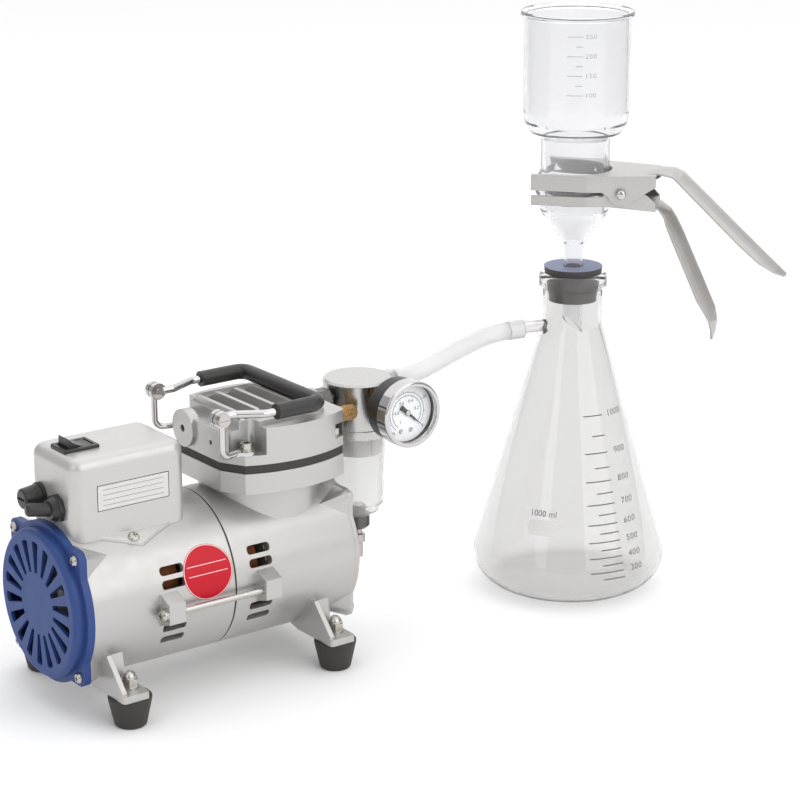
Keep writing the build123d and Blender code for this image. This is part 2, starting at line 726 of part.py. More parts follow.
keep(cylinder_head, "cylinder_head")

bracket_sheet = 2.4
with BuildPart() as head_screws:
    for x, y in head_screw_spots:
        holds_bracket = x == head_screw_left_x
        seat = facing_up(x, y, screw_pocket_z + (bracket_sheet if holds_bracket else 0.0))
        with BuildSketch(seat):
            Circle(4.9 if holds_bracket else 3.9)
        extrude(amount=0.9)
        with BuildSketch(seat.offset(0.9)):
            Circle(3.9)
        extrude(amount=4.2)
        with BuildSketch(seat.offset(2.5)):
            RegularPolygon(2.3, 6)
        extrude(amount=3, mode=Mode.SUBTRACT)
        with BuildSketch(seat):
            Circle(head_screw_r)
        extrude(amount=-(seat.origin.Z - flange_top_z + head_screw_bite))
keep(head_screws, "head_screws")


# Tie rods with their screws

with BuildPart() as tie_rods:
    for y in (-rod_y, rod_y):
        left_face = ear_left_x - ear_width / 2
        right_face = ear_right_x + ear_width / 2
        with BuildSketch(facing_right(left_face, y, rod_z)):
            Circle(rod_r)
        extrude(amount=right_face - left_face - 1)
        with BuildSketch(facing_left(left_face, y, rod_z)):
            Circle(4.4)
        extrude(amount=1.0)
        pan_screw(facing_left(left_face - 1, y, rod_z), 4.0, 3.2, rod_r, 3)
keep(tie_rods, "tie_rods")


# Feet

with BuildPart() as rubber_feet:
    for x in (-foot_x, foot_x):
        for y in (-foot_y, foot_y):
            at = (pump_x + x, pump_y + y)
            turn_upright([(0, 0), (foot_base_r - 1, 0), (foot_base_r, 1), (foot_top_r, foot_height - 2.5),
                          (foot_top_r, foot_height - 1), (foot_top_r - 1, foot_height),
                          (bolt_r + fit_gap, foot_height), (bolt_r + fit_gap, foot_height - 12),
                          (0, foot_height - 12)], at)
keep(rubber_feet, "rubber_feet")

nut_z = foot_height + leg_plate
with BuildPart() as foot_bolts:
    for x in (-foot_x, foot_x):
        for y in (-foot_y, foot_y):
            with BuildSketch(facing_up(x, y, nut_z)):
                Circle(5.8)
            extrude(amount=1.2)
            with BuildSketch(facing_up(x, y, nut_z + 1.2)):
                RegularPolygon(5.0, 6, major_radius=False)
            extrude(amount=5.0)
            at = (pump_x + x, pump_y + y)
            turn_upright([(0, foot_height - 11.5), (bolt_r, foot_height - 11.5), (bolt_r, nut_z + 9.5),
                          (bolt_r - 1.2, nut_z + 10.6), (0, nut_z + 10.6)], at)
keep(foot_bolts, "foot_bolts")


# Folding handle

def swept_rod(points, radius, corner):
    """Round rod along straight runs with rounded corners."""
    with BuildLine() as path:
        FilletPolyline(*points, radius=corner)
    line = path.line
    with BuildSketch(Plane(origin=line @ 0, z_dir=line % 0)) as profile:
        Circle(radius)
    sweep(profile.sketch, path=line)


bracket_low_z = screw_pocket_z + bracket_sheet / 2
with BuildPart() as handle_brackets:
    for side in (-1, 1):
        y_eye = side * (pivot_y + eye_thickness / 2 + loose_gap + 2.1)
        swept_rod([spot(pivot_x, y_eye, pivot_z - eye_r + 1), spot(pivot_x, y_eye, bracket_low_z + 0.9),
                   spot(head_screw_left_x - 6, side * head_screw_y, bracket_low_z + 0.9)], 2.1, 5.5)
        with BuildSketch(facing_up(head_screw_left_x, side * head_screw_y, screw_pocket_z)):
            Circle(6.2)
            with Locations((-5, 0)):
                Rectangle(8, 5.5)
            Circle(head_screw_r + fit_gap, mode=Mode.SUBTRACT)
        extrude(amount=bracket_sheet)
        with BuildSketch(facing_front(pivot_x, y_eye - 1.6, pivot_z)):
            Circle(eye_r)
            Circle(1.8 + fit_gap, mode=Mode.SUBTRACT)
        extrude(amount=-3.2)
keep(handle_brackets, "handle_brackets")

with BuildPart() as handle_bail:
    inner_y = pivot_y - 1.0
    runs = [spot(pivot_x + 3, -inner_y, pivot_z), spot(pivot_x + 12, -inner_y, pivot_z),
            spot(bail_out_x, -bail_y, bail_z), spot(bail_cross_x, -bail_y, bail_z),
            spot(bail_cross_x, bail_y, bail_z), spot(bail_out_x, bail_y, bail_z),
            spot(pivot_x + 12, inner_y, pivot_z), spot(pivot_x + 3, inner_y, pivot_z)]
    swept_rod(runs, bail_rod_r, 7.0)
    for side in (-1, 1):
        with BuildSketch(facing_front(pivot_x, side * pivot_y + eye_thickness / 2, pivot_z)):
            Circle(eye_r)
            Circle(1.8 + running_gap, mode=Mode.SUBTRACT)
        extrude(amount=eye_thickness)
keep(handle_bail, "handle_bail")

with BuildPart() as handle_grip:
    grip_runs = [spot(grip_start_x, -bail_y, bail_z), spot(bail_cross_x, -bail_y, bail_z),
                 spot(bail_cross_x, bail_y, bail_z), spot(grip_start_x, bail_y, bail_z)]
    with BuildLine() as grip_path:
        FilletPolyline(*grip_runs, radius=7.0)
    grip_line = grip_path.line
    with BuildSketch(Plane(origin=grip_line @ 0, z_dir=grip_line % 0)):
        Circle(grip_r)
        Circle(bail_rod_r + fit_gap, mode=Mode.SUBTRACT)
    sweep(path=grip_line)
keep(handle_grip, "handle_grip")

with BuildPart() as pivot_screws:
    for side in (-1, 1):
        outer_y = side * (pivot_y + eye_thickness / 2 + loose_gap + 3.7)
        sign = 1 if side < 0 else -1
        seat = facing_front(pivot_x, outer_y, pivot_z)
        with BuildSketch(seat):
            Circle(4.4)
        extrude(amount=sign * 2.2)
        with BuildSketch(seat.offset(sign * 2.2)):
            Rectangle(9, 1.0)
        extrude(amount=-sign * 0.8, mode=Mode.SUBTRACT)
        with BuildSketch(seat):
            Circle(1.8)
        extrude(amount=-sign * (eye_thickness + 3.7 + loose_gap + 0.6))
keep(pivot_screws, "pivot_screws")


# Control box with its fittings

box_length = box_right_x - box_left_x
box_width = box_back_y - box_front_y
box_centre_x = (box_left_x + box_right_x) / 2
box_centre_y = (box_front_y + box_back_y) / 2
box_base_z = axis_z + 20

with BuildPart() as box_tab:
    with BuildSketch(facing_up(0, 0, box_base_z)):
        Polygon((tab_tip_x - tab_half, box_front_y + 4), (tab_tip_x, tab_tip_y),
                (tab_tip_x + tab_half, box_front_y + 4), align=None)
    extrude(amount=50)
    with BuildSketch(facing_right(fan_end_x)):
        Circle(barrel_r + tab_thickness)
    extrude(amount=-fan_end_x, mode=Mode.INTERSECT)

with BuildPart() as control_box:
    with BuildSketch(facing_up(box_centre_x, box_centre_y, box_base_z)):
        RectangleRounded(box_length, box_width, box_corner)
    extrude(amount=box_top_z - box_base_z)
    fillet(control_box.faces().sort_by(Axis.Z)[-1].edges(), box_edge)
    with BuildSketch(facing_up(box_centre_x, box_centre_y, box_base_z)):
        RectangleRounded(box_length - 2 * box_wall, box_width - 2 * box_wall, box_corner - box_wall)
    inner = extrude(amount=box_top_z - box_wall - box_base_z, mode=Mode.PRIVATE)
    inner = inner.fillet(box_edge - box_wall, inner.faces().sort_by(Axis.Z)[-1].edges())
    add(inner, mode=Mode.SUBTRACT)
    add(box_tab.part)
    barrel_shape(facing_right(fan_end_x), -fan_end_x, mode=Mode.SUBTRACT)
    with BuildSketch(facing_up(switch_x, switch_y, box_top_z)):
        Rectangle(switch_length - 3, switch_width - 3)
    extrude(amount=-box_wall - 1, mode=Mode.SUBTRACT)
    with BuildSketch(facing_right(box_left_x, 0, 0)):
        with Locations((fuse_y, fuse_z)):
            Circle(fuse_r + fit_gap)
        with Locations((gland_y, gland_z)):
            Circle(5.0 + fit_gap)
    extrude(amount=box_wall + 1, mode=Mode.SUBTRACT)
    with BuildSketch(tab_screw_plane.offset(0.5)):
        Circle(tab_shank_r + fit_gap)
    extrude(amount=-tab_thickness - 2, mode=Mode.SUBTRACT)
keep(control_box, "control_box")

rocker_z = box_top_z + 0.5
with BuildPart() as switch_frame:
    with BuildSketch(facing_up(switch_x, switch_y, box_top_z)):
        RectangleRounded(switch_length, switch_width, 1.5)
    extrude(amount=switch_rim)
    chamfer(switch_frame.faces().sort_by(Axis.Z)[-1].edges(), 0.6)
    with BuildSketch(facing_up(switch_x, switch_y, box_top_z)):
        Rectangle(switch_length - 3 - 2 * fit_gap, switch_width - 3 - 2 * fit_gap)
    extrude(amount=-16)
    with BuildSketch(facing_up(switch_x, switch_y, box_top_z + switch_rim)):
        Rectangle(rocker_length + 1.0, rocker_width + 0.8)
    extrude(amount=-13, mode=Mode.SUBTRACT)
    with BuildSketch(facing_front(switch_x, switch_y - rocker_width / 2 - 1.2, rocker_z)):
        Circle(1.5 + running_gap)
    extrude(amount=-rocker_width - 2.4, mode=Mode.SUBTRACT)
keep(switch_frame, "switch_frame")

with BuildPart() as switch_rocker:
    half = rocker_length / 2
    with BuildSketch(facing_front(switch_x, switch_y + rocker_width / 2, rocker_z)):
        with BuildLine():
            Polyline((-half + 0.9, -3.5), (-half + 1.6, 7.4))
            ThreePointArc((-half + 1.6, 7.4), (-1.0, 2.4), (half - 1.1, 1.6))
            Polyline((half - 1.1, 1.6), (half - 1.4, -3.0), (0, -7.5), (-half + 0.9, -3.5))
        make_face()
    extrude(amount=rocker_width)
    with BuildSketch(facing_front(switch_x, switch_y + rocker_width / 2 + 1.0, rocker_z)):
        Circle(1.5)
    extrude(amount=rocker_width + 2.0)
keep(switch_rocker, "switch_rocker")

with BuildPart() as fuse_holder:
    with BuildSketch(facing_left(box_left_x, fuse_y, fuse_z)):
        Circle(8.6)
    extrude(amount=2.5)
    with BuildSketch(facing_right(box_left_x, fuse_y, fuse_z)):
        Circle(fuse_r)
    extrude(amount=20)
keep(fuse_holder, "fuse_holder")

with BuildPart() as fuse_cap:
    with BuildSketch(facing_left(box_left_x - 2.5 - fit_gap, fuse_y, fuse_z)):
        Circle(7.9)
    extrude(amount=fuse_cap_length, taper=7)
    fillet(fuse_cap.faces().sort_by(Axis.X)[0].edges(), 1.6)
    for flute in range(12):
        angle = 2 * math.pi * flute / 12
        flute_y, flute_z = fuse_y + 8.2 * math.cos(angle), fuse_z + 8.2 * math.sin(angle)
        with BuildSketch(facing_left(box_left_x - 5, flute_y, flute_z)):
            Circle(0.9)
        extrude(amount=6, mode=Mode.SUBTRACT)
    with BuildSketch(facing_left(box_left_x - 2.5 - fuse_cap_length - fit_gap, fuse_y, fuse_z)):
        Rectangle(9, 1.4)
    extrude(amount=-1.6, mode=Mode.SUBTRACT)
keep(fuse_cap, "fuse_cap")

sleeve_way = Vector(-1, 0.24, 0.1).normalized()
with BuildPart() as cable_gland:
    with BuildSketch(facing_left(box_left_x, gland_y, gland_z)):
        RegularPolygon(gland_r, 8, major_radius=False)
    extrude(amount=3.2)
    with BuildSketch(facing_left(box_left_x - 3.2, gland_y, gland_z)):
        Circle(gland_r - 0.6)
    extrude(amount=4.0, taper=24)
    with BuildSketch(facing_right(box_left_x, gland_y, gland_z)):
        Circle(5.0)
    extrude(amount=8)
    sleeve_plane = Plane(origin=spot(box_left_x - 4, gland_y, gland_z), x_dir=(0, 0, 1), z_dir=sleeve_way)
    with BuildSketch(sleeve_plane):
        Circle(4.6)
    extrude(amount=17.5, taper=1.5)
    fillet(cable_gland.faces().sort_by(Axis.X)[0].edges(), 2.6)
keep(cable_gland, "cable_gland")

with BuildPart() as run_capacitor:
    with BuildSketch(facing_right(capacitor_x - capacitor_length / 2, 0, axis_z + barrel_r + capacitor_r)):
        Circle(capacitor_r)
    extrude(amount=capacitor_length)
    fillet(run_capacitor.edges().filter_by(GeomType.CIRCLE), 1.5)
keep(run_capacitor, "run_capacitor")


# Fittings on the head

trap_left_x = trap_x - trap_r
with BuildPart() as intake_nipple:
    start = head_right_x + 4.5
    with BuildSketch(facing_right(start - 9, trap_y, port_z)):
        Circle(port_r - fit_gap)
    extrude(amount=trap_left_x - start + 9 + 5)
    with BuildSketch(facing_right(start, trap_y, port_z)):
        RegularPolygon(7.2, 6, major_radius=False)
    extrude(amount=trap_left_x - start - 2)
    with BuildSketch(facing_right(start - 9, trap_y, port_z)):
        Circle(3.0)
    extrude(amount=trap_left_x - start + 14, mode=Mode.SUBTRACT)
keep(intake_nipple, "intake_nipple")

with BuildPart() as exhaust_silencer:
    with BuildSketch(facing_right(head_right_x - 7, silencer_y, silencer_z)):
        Circle(port_r - 1 - fit_gap)
    extrude(amount=8)
    with BuildSketch(facing_right(head_right_x, silencer_y, silencer_z)):
        RegularPolygon(5.6, 6, major_radius=False)
    extrude(amount=6)
    with BuildSketch(facing_right(head_right_x + 6, silencer_y, silencer_z)):
        Circle(5.2)
    extrude(amount=16)
    fillet(exhaust_silencer.faces().sort_by(Axis.X)[-1].edges(), 3.0)
keep(exhaust_silencer, "exhaust_silencer")


# Moisture trap

bowl_bore_r = bowl_r + fit_gap
barb_face_x = trap_x + trap_r - 1.0
with BuildPart() as trap_head:
    turn_upright([(0, bowl_top_z), (bowl_bore_r, bowl_top_z), (bowl_bore_r, collar_low_z),
                  (collar_r, collar_low_z), (collar_r, collar_top_z), (trap_r, collar_top_z),
                  (trap_r, trap_top_z - 1.5), (trap_r - 1.5, trap_top_z), (0, trap_top_z)], trap_at)
    with BuildSketch(facing_right(trap_left_x - 1, trap_y, port_z)):
        Circle(port_r)
    extrude(amount=6.5, mode=Mode.SUBTRACT)
    with BuildSketch(facing_right(trap_x + trap_r - 8, trap_y, barb_z)):
        Circle(4.5)
    extrude(amount=12, mode=Mode.SUBTRACT)
    with BuildSketch(facing_right(barb_face_x, trap_y, barb_z)):
        Circle(7.4)
    extrude(amount=3, mode=Mode.SUBTRACT)
    with BuildSketch(facing_front(trap_x, trap_y - trap_r + 6, gauge_z)):
        Circle(4.8)
    extrude(amount=10, mode=Mode.SUBTRACT)
keep(trap_head, "trap_head")

barb_root_x = trap_x + trap_r + 6.5
with BuildPart() as hose_barb:
    with BuildSketch(facing_right(trap_x + trap_r - 7.5, trap_y, barb_z)):
        Circle(4.5 - fit_gap)
    extrude(amount=9)
    with BuildSketch(facing_right(barb_face_x, trap_y, barb_z)):
        RegularPolygon(6.2, 6, major_radius=False)
    extrude(amount=6.0)
    with BuildSketch(facing_right(trap_x + trap_r + 4, trap_y, barb_z)):
        Circle(hose_bore_r - fit_gap)
    extrude(amount=barb_root_x + barb_length - trap_x - trap_r - 4)
    with BuildSketch(facing_right(trap_x + trap_r - 7.5, trap_y, barb_z)):
        Circle(2.2)
    extrude(amount=barb_root_x + barb_length - trap_x - trap_r + 7.5, mode=Mode.SUBTRACT)
keep(hose_barb, "hose_barb")

drain_bore_r = 5.0
with BuildPart() as trap_bowl:
    turn_upright([(bowl_r - bowl_wall, bowl_top_z), (bowl_r, bowl_top_z), (bowl_r, collar_low_z),
                  (bowl_foot_r, bowl_shoulder_z), (bowl_foot_r - 3, bowl_shoulder_z - 6),
                  (drain_bore_r + 4, bowl_low_z), (drain_bore_r, bowl_low_z),
                  (drain_bore_r, bowl_low_z + bowl_wall), (drain_bore_r + 3.4, bowl_low_z + bowl_wall),
                  (bowl_foot_r - 4.4, bowl_shoulder_z - 4.8),
                  (bowl_foot_r - bowl_wall, bowl_shoulder_z + 0.6), (bowl_r - bowl_wall, collar_low_z)], trap_at)
keep(trap_bowl, "trap_bowl")

with BuildPart() as trap_baffle:
    turn_upright([(baffle_r - 2, bowl_top_z), (baffle_r, bowl_top_z), (baffle_r, baffle_low_z),
                  (baffle_r - 1.5, baffle_low_z), (baffle_r - 2, baffle_low_z + 2)], trap_at)
    for vane in range(8):
        angle = 2 * math.pi * vane / 8
        along = (math.cos(angle), math.sin(angle), 0)
        with BuildSketch(Plane(origin=(*trap_at, baffle_low_z + 2), x_dir=along, z_dir=(0, 0, 1))):
            with Locations((baffle_r + 0.1, 0)):
                Rectangle(1.6, 1.0)
        extrude(amount=bowl_top_z - baffle_low_z - 2)
keep(trap_baffle, "trap_baffle")

element_r = 9.0
with BuildPart() as filter_element:
    turn_upright([(4, bowl_top_z), (element_r, bowl_top_z), (element_r, baffle_low_z + 3),
                  (2.5, baffle_low_z + 3), (2.5, baffle_low_z + 6), (4, baffle_low_z + 6)], trap_at)
keep(filter_element, "filter_element")

stem_bore = 2.6
with BuildPart() as drain_fitting:
    turn_upright([(stem_bore + running_gap, bowl_low_z + 6), (drain_bore_r - fit_gap, bowl_low_z + 6),
                  (drain_bore_r - fit_gap, bowl_low_z), (drain_r, bowl_low_z), (drain_r, bowl_low_z - 8),
                  (drain_r - 2, bowl_low_z - 10), (stem_bore + running_gap, bowl_low_z - 10)], trap_at)
keep(drain_fitting, "drain_fitting")

with BuildPart() as drain_stem:
    turn_upright([(0, bowl_low_z + 7), (4.2, bowl_low_z + 7), (4.2, bowl_low_z + 6 + fit_gap),
                  (stem_bore, bowl_low_z + 6 + fit_gap), (stem_bore, bowl_low_z - 14),
                  (4.6, bowl_low_z - 14.5), (4.6, bowl_low_z - 20), (3.0, bowl_low_z - 21),
                  (3.0, bowl_low_z - 31), (0, bowl_low_z - 31)], trap_at)
keep(drain_stem, "drain_stem")


# Gauge

gauge_back_y = gauge_front_y + gauge_depth
with BuildPart() as gauge_socket:
    with BuildSketch(facing_front(trap_x, trap_y - trap_r + 5.5, gauge_z)):
        Circle(4.8 - fit_gap)
    extrude(amount=trap_y - trap_r + 5.5 - gauge_back_y)
    with BuildSketch(facing_front(trap_x, gauge_back_y + 11, gauge_z)):
        RegularPolygon(6.5, 6, major_radius=False)
    extrude(amount=8)
keep(gauge_socket, "gauge_socket")


def gauge_plane(y):
    return facing_front(trap_x, y, gauge_z)


dial_y = gauge_front_y + 8.0
with BuildPart() as gauge_case:
    with BuildSketch(gauge_plane(gauge_back_y)):
        Circle(gauge_case_r)
    extrude(amount=gauge_depth - 3)
    fillet(gauge_case.faces().sort_by(Axis.Y)[-1].edges(), 2.0)
    with BuildSketch(gauge_plane(gauge_back_y - 2)):
        Circle(gauge_case_r - 1.5)
    extrude(amount=gauge_depth, mode=Mode.SUBTRACT)
keep(gauge_case, "gauge_case")

with BuildPart() as gauge_bezel:
    with BuildSketch(gauge_plane(gauge_front_y + bezel_depth)):
        Circle(gauge_bezel_r)
    extrude(amount=bezel_depth)
    fillet(gauge_bezel.faces().sort_by(Axis.Y)[0].edges(), 1.6)
    with BuildSketch(gauge_plane(gauge_front_y + bezel_depth)):
        Circle(gauge_case_r + fit_gap)
    extrude(amount=bezel_depth - 3 + fit_gap, mode=Mode.SUBTRACT)
    with BuildSketch(gauge_plane(gauge_front_y + bezel_depth)):
        Circle(gauge_window_r)
    extrude(amount=bezel_depth, mode=Mode.SUBTRACT)
keep(gauge_bezel, "gauge_bezel")

with BuildPart() as gauge_lens:
    with BuildSketch(gauge_plane(gauge_front_y + 4.5)):
        Circle(gauge_case_r - 1.5 - fit_gap)
    extrude(amount=1.5)
keep(gauge_lens, "gauge_lens")

arbor_r = 0.9
with BuildPart() as gauge_dial:
    with BuildSketch(gauge_plane(dial_y + 0.8)):
        Circle(gauge_case_r - 1.5 - fit_gap)
        Circle(arbor_r + running_gap, mode=Mode.SUBTRACT)
    extrude(amount=0.8)
keep(gauge_dial, "gauge_dial")

pointer_way = math.radians(pointer_angle)
with BuildPart() as gauge_pointer:
    with BuildSketch(gauge_plane(dial_y - 0.8)):
        Circle(2.0)
        with BuildLine():
            tip = (14.5 * math.cos(pointer_way), 14.5 * math.sin(pointer_way))
            side = (-1.0 * math.sin(pointer_way), 1.0 * math.cos(pointer_way))
            tail = (-7.0 * math.cos(pointer_way), -7.0 * math.sin(pointer_way))
            Polyline(tip, (side[0], side[1]), (tail[0] + 1.8 * side[0], tail[1] + 1.8 * side[1]),
                     (tail[0] - 1.8 * side[0], tail[1] - 1.8 * side[1]), (-side[0], -side[1]), close=True)
        make_face()
    extrude(amount=0.6)
    with BuildSketch(gauge_plane(dial_y + 3)):
        Circle(arbor_r)
    extrude(amount=4.5)
keep(gauge_pointer, "gauge_pointer")


# Filter flask

arm_way = Vector(math.cos(math.radians(arm_angle)), math.sin(math.radians(arm_angle)), 0)
arm_low_r = hose_bore_r - fit_gap


def arm_plane(reach):
    return Plane(origin=Vector(*flask_at, arm_z) + arm_way * reach, z_dir=arm_way)


mouth_r = flask_neck_r - flask_wall
stopper_slope = (stopper_top_r - stopper_low_r) / (stopper_top_z - stopper_low_z)


def stopper_radius(z):
    return stopper_low_r + stopper_slope * (z - stopper_low_z)


bead_low_z = flask_height - flask_bead_height
inner_foot_r = flask_cone_r - 1.04 * flask_wall
with BuildPart() as filter_flask:
    with BuildSketch(upright(*flask_at)) as flask_section:
        with BuildLine():
            Polyline((0, 0), (flask_cone_r, 0), (flask_neck_r, shoulder_z), (flask_neck_r, bead_low_z),
                     (flask_bead_r, bead_low_z + 2.5), (flask_bead_r, flask_height), (0, flask_height),
                     close=True)
        make_face()
        corners = flask_section.vertices()
        fillet(corners.sort_by_distance((flask_cone_r, 0))[0], flask_heel)
        fillet(corners.sort_by_distance((flask_neck_r, shoulder_z))[0], flask_shoulder)
        fillet(flask_section.vertices().sort_by_distance((flask_bead_r, flask_height))[0], 3.0)
    revolve(axis=vertical(*flask_at))
    with BuildSketch(arm_plane(mouth_r)):
        Circle(arm_root_r)
    extrude(amount=arm_reach - mouth_r - 1)
    with BuildSketch(arm_plane(mouth_r)):
        Circle(arm_low_r)
    extrude(amount=arm_reach - mouth_r + barb_length)
    with BuildSketch(upright(*flask_at)) as flask_hollow:
        with BuildLine():
            Polyline((0, flask_wall), (inner_foot_r, flask_wall), (mouth_r, shoulder_z - 0.3),
                     (mouth_r, stopper_low_z + 3),
                     (stopper_radius(flask_height) + loose_gap, flask_height), (0, flask_height), close=True)
        make_face()
        corners = flask_hollow.vertices()
        fillet(corners.sort_by_distance((inner_foot_r, flask_wall))[0], flask_heel - flask_wall)
        fillet(corners.sort_by_distance((mouth_r, shoulder_z - 0.3))[0], flask_shoulder + flask_wall)
    revolve(axis=vertical(*flask_at), mode=Mode.SUBTRACT)
    with BuildSketch(arm_plane(mouth_r - 3)):
        Circle(2.4)
    extrude(amount=arm_reach - mouth_r + 3 + barb_length, mode=Mode.SUBTRACT)
keep(filter_flask, "filter_flask")

with BuildPart() as rubber_stopper:
    turn_upright([(stem_r + fit_gap, stopper_low_z), (stopper_low_r, stopper_low_z),
                  (stopper_top_r, stopper_top_z), (stem_r + fit_gap, stopper_top_z)], flask_at)
keep(rubber_stopper, "rubber_stopper")


# Filter base, frit and funnel

lip_low_z = joint_z - lip_thickness
disc_r = neck_glass_r - glass_wall - 0.5
with BuildPart() as filter_base:
    turn_upright([(stem_r - stem_wall, stem_tip_z), (stem_r, stem_tip_z), (stem_r, cone_low_z),
                  (neck_glass_r - 1.2, cone_top_z), (neck_glass_r, cone_top_z + 3),
                  (neck_glass_r, lip_low_z - lip_flare), (lip_r, lip_low_z), (lip_r, joint_z),
                  (disc_r + fit_gap, joint_z), (disc_r + fit_gap, joint_z - disc_thickness),
                  (disc_r - 2, joint_z - disc_thickness), (neck_glass_r - glass_wall - 2, cone_top_z + 3),
                  (stem_r - stem_wall, cone_low_z + 2)], flask_at)
    tip_centre = Plane(origin=(*flask_at, stem_tip_z + stem_r), x_dir=(1, 0, 0), z_dir=(0, 0, 1))
    tip_cut = tip_centre.rotated((0, 45, 0))
    with BuildSketch(tip_cut):
        Rectangle(60, 60)
    extrude(amount=-30, mode=Mode.SUBTRACT)
keep(filter_base, "filter_base")

with BuildPart() as filter_disc:
    with BuildSketch(Plane(origin=(*flask_at, joint_z - disc_thickness))):
        Circle(disc_r)
    extrude(amount=disc_thickness)
keep(filter_disc, "filter_disc")

with BuildPart() as funnel:
    turn_upright([(disc_r - 1, joint_z), (lip_r, joint_z), (lip_r, joint_z + lip_thickness),
                  (neck_glass_r, joint_z + lip_thickness + lip_flare), (neck_glass_r, funnel_neck_top_z),
                  (funnel_r - 5, funnel_neck_top_z + 4.5), (funnel_r - 1.2, funnel_body_z - 4),
                  (funnel_r, funnel_body_z + 4), (funnel_r, funnel_top_z - 4),
                  (funnel_rim_r, funnel_top_z - 2.5), (funnel_rim_r, funnel_top_z - 0.8),
                  (funnel_rim_r - 1, funnel_top_z), (funnel_r - glass_wall, funnel_top_z - 2),
                  (funnel_r - glass_wall, funnel_body_z + 4.5),
                  (funnel_r - glass_wall - 1.2, funnel_body_z - 2.5),
                  (funnel_r - 7, funnel_neck_top_z + 6.5),
                  (neck_glass_r - glass_wall, funnel_neck_top_z + 1.5), (disc_r - 1, joint_z + 3)], flask_at)
keep(funnel, "funnel")


# Hose

hose_start = Vector(*spot(barb_root_x, trap_y, barb_z))
hose_end = Vector(*flask_at, arm_z) + arm_way * (arm_reach - 1)
hose_route = [hose_start, hose_start + Vector(18, 0, 0), hose_start + Vector(35.5, 0, 4.6),
              hose_start + Vector(54, -1.4, 11.4), hose_end - arm_way * -21.5, hose_end]


def cord_radii(points):
    """Largest arc that each corner of the route has room for."""
    radii = []
    for before, corner, after in zip(points, points[1:], points[2:]):
        run_in, run_out = corner - before, after - corner
        half_turn = math.radians(run_in.get_angle(run_out)) / 2
        radii.append(0.45 * min(run_in.length, run_out.length) / math.tan(half_turn))
    return radii


hose_radii = cord_radii(hose_route)
print("hose bend radii", [round(radius) for radius in hose_radii])
with BuildPart() as vacuum_hose:
    with BuildLine() as hose_path:
        FilletPolyline(*hose_route, radius=hose_radii)
    with BuildSketch(Plane(origin=hose_start, z_dir=(1, 0, 0))) as hose_ring:
        Circle(hose_r)
        Circle(hose_bore_r, mode=Mode.SUBTRACT)
    sweep(hose_ring.sketch, path=hose_path.line)
print("hose length", round(sum(edge.length for edge in hose_path.edges()), 1))
keep(vacuum_hose, "vacuum_hose")


# Clamp

clamp_way = Vector(math.cos(math.radians(clamp_angle)), math.sin(math.radians(clamp_angle)), 0)
clamp_side = Vector(clamp_way.Y, -clamp_way.X, 0)


def clamp_plan(z):
    """Plan of the clamp: sketch x runs from the fork to the handles."""
    return Plane(origin=(flask_x, flask_y, z), x_dir=clamp_way, z_dir=(0, 0, 1))


def clamp_elevation(outward=0.0):
    """Side view of the clamp: sketch x along it, sketch y up, growing to the front."""
    centre = Vector(flask_x, flask_y, 0) + clamp_side * outward
    return Plane(origin=centre, x_dir=clamp_way, z_dir=clamp_side)


def jaw_outline(half, waist, beyond=0.0):
    """Plan outline of one jaw, parallel at the fork and narrower to the handle."""
    Polygon((fork_tip - beyond, -half), (jaw_taper_start, -half), (jaw_end + beyond, -waist),
            (jaw_end + beyond, waist), (jaw_taper_start, half), (fork_tip - beyond, half), align=None)


def channel(half, waist, low_z, high_z, plate_z):
    """Jaw blank: a plate and the walls along both sides of it."""
    with BuildSketch(clamp_plan(low_z)) as profile:
        jaw_outline(half, waist)
    extrude(profile.sketch, amount=high_z - low_z)
    for z_from, z_to in ((low_z, plate_z), (plate_z + jaw_sheet, high_z)):
        if z_to - z_from > jaw_sheet / 2:
            with BuildSketch(clamp_plan(z_from)) as profile:
                jaw_outline(half - jaw_sheet, waist - jaw_sheet, beyond=1)
            extrude(profile.sketch, amount=z_to - z_from, mode=Mode.SUBTRACT)


def fork_slot(z_from, height):
    with BuildSketch(clamp_plan(z_from)) as profile:
        with Locations(((fork_tip - 2) / 2, 0)):
            Rectangle(-fork_tip + 2, 2 * fork_slot_r)
        Circle(fork_slot_r)
    extrude(profile.sketch, amount=height, mode=Mode.SUBTRACT)


def side_view(points):
    """Keep only what lies inside the jaw's side view and its round ear."""
    with BuildSketch(clamp_elevation(-jaw_half - 5)) as profile:
        Polygon(*points, align=None)
        with Locations((clamp_pin_s, joint_z)):
            Circle(ear_radius)
    extrude(profile.sketch, amount=2 * jaw_half + 10, mode=Mode.INTERSECT)


def pin_holes():
    with BuildSketch(clamp_elevation(-jaw_half)) as profile:
        with Locations((clamp_pin_s, joint_z)):
            Circle(clamp_pin_r + running_gap)
    extrude(profile.sketch, amount=2 * jaw_half, mode=Mode.SUBTRACT)


def arched_strip(root_z, stations):
    """Arched sheet-metal handle that leaves the jaw at root_z.

    Each station gives the way past the jaw end, the rise, the lean, how much narrower
    than the handle it is, and the depth of its arch.
    """
    steps = [step / 4 for step in range(-4, 5)]
    slices = []
    for past, rise, lean, narrower, arch in stations:
        half = handle_half - narrower
        lean = math.radians(lean)
        way = clamp_way * math.cos(lean) + Vector(0, 0, math.sin(lean))
        origin = Vector(flask_x, flask_y, root_z + rise) + clamp_way * (jaw_end + past)
        outer = [(half * step, -arch * step * step) for step in steps]
        inner = [(x * (half - 0.3) / half, y - jaw_sheet) for x, y in reversed(outer)]
        with BuildSketch(Plane(origin=origin, x_dir=clamp_side * -1, z_dir=way)) as profile:
            Polygon(*outer, *inner, align=None)
        slices.append(profile.sketch.faces()[0])
    return Solid.make_loft([face.outer_wire() for face in slices], True)


upper_plate_z = joint_z + jaw_plate_lift
lower_plate_z = joint_z - lower_plate_drop
upper_sheet_top = upper_plate_z + jaw_sheet
lower_sheet_low = lower_plate_z - jaw_sheet

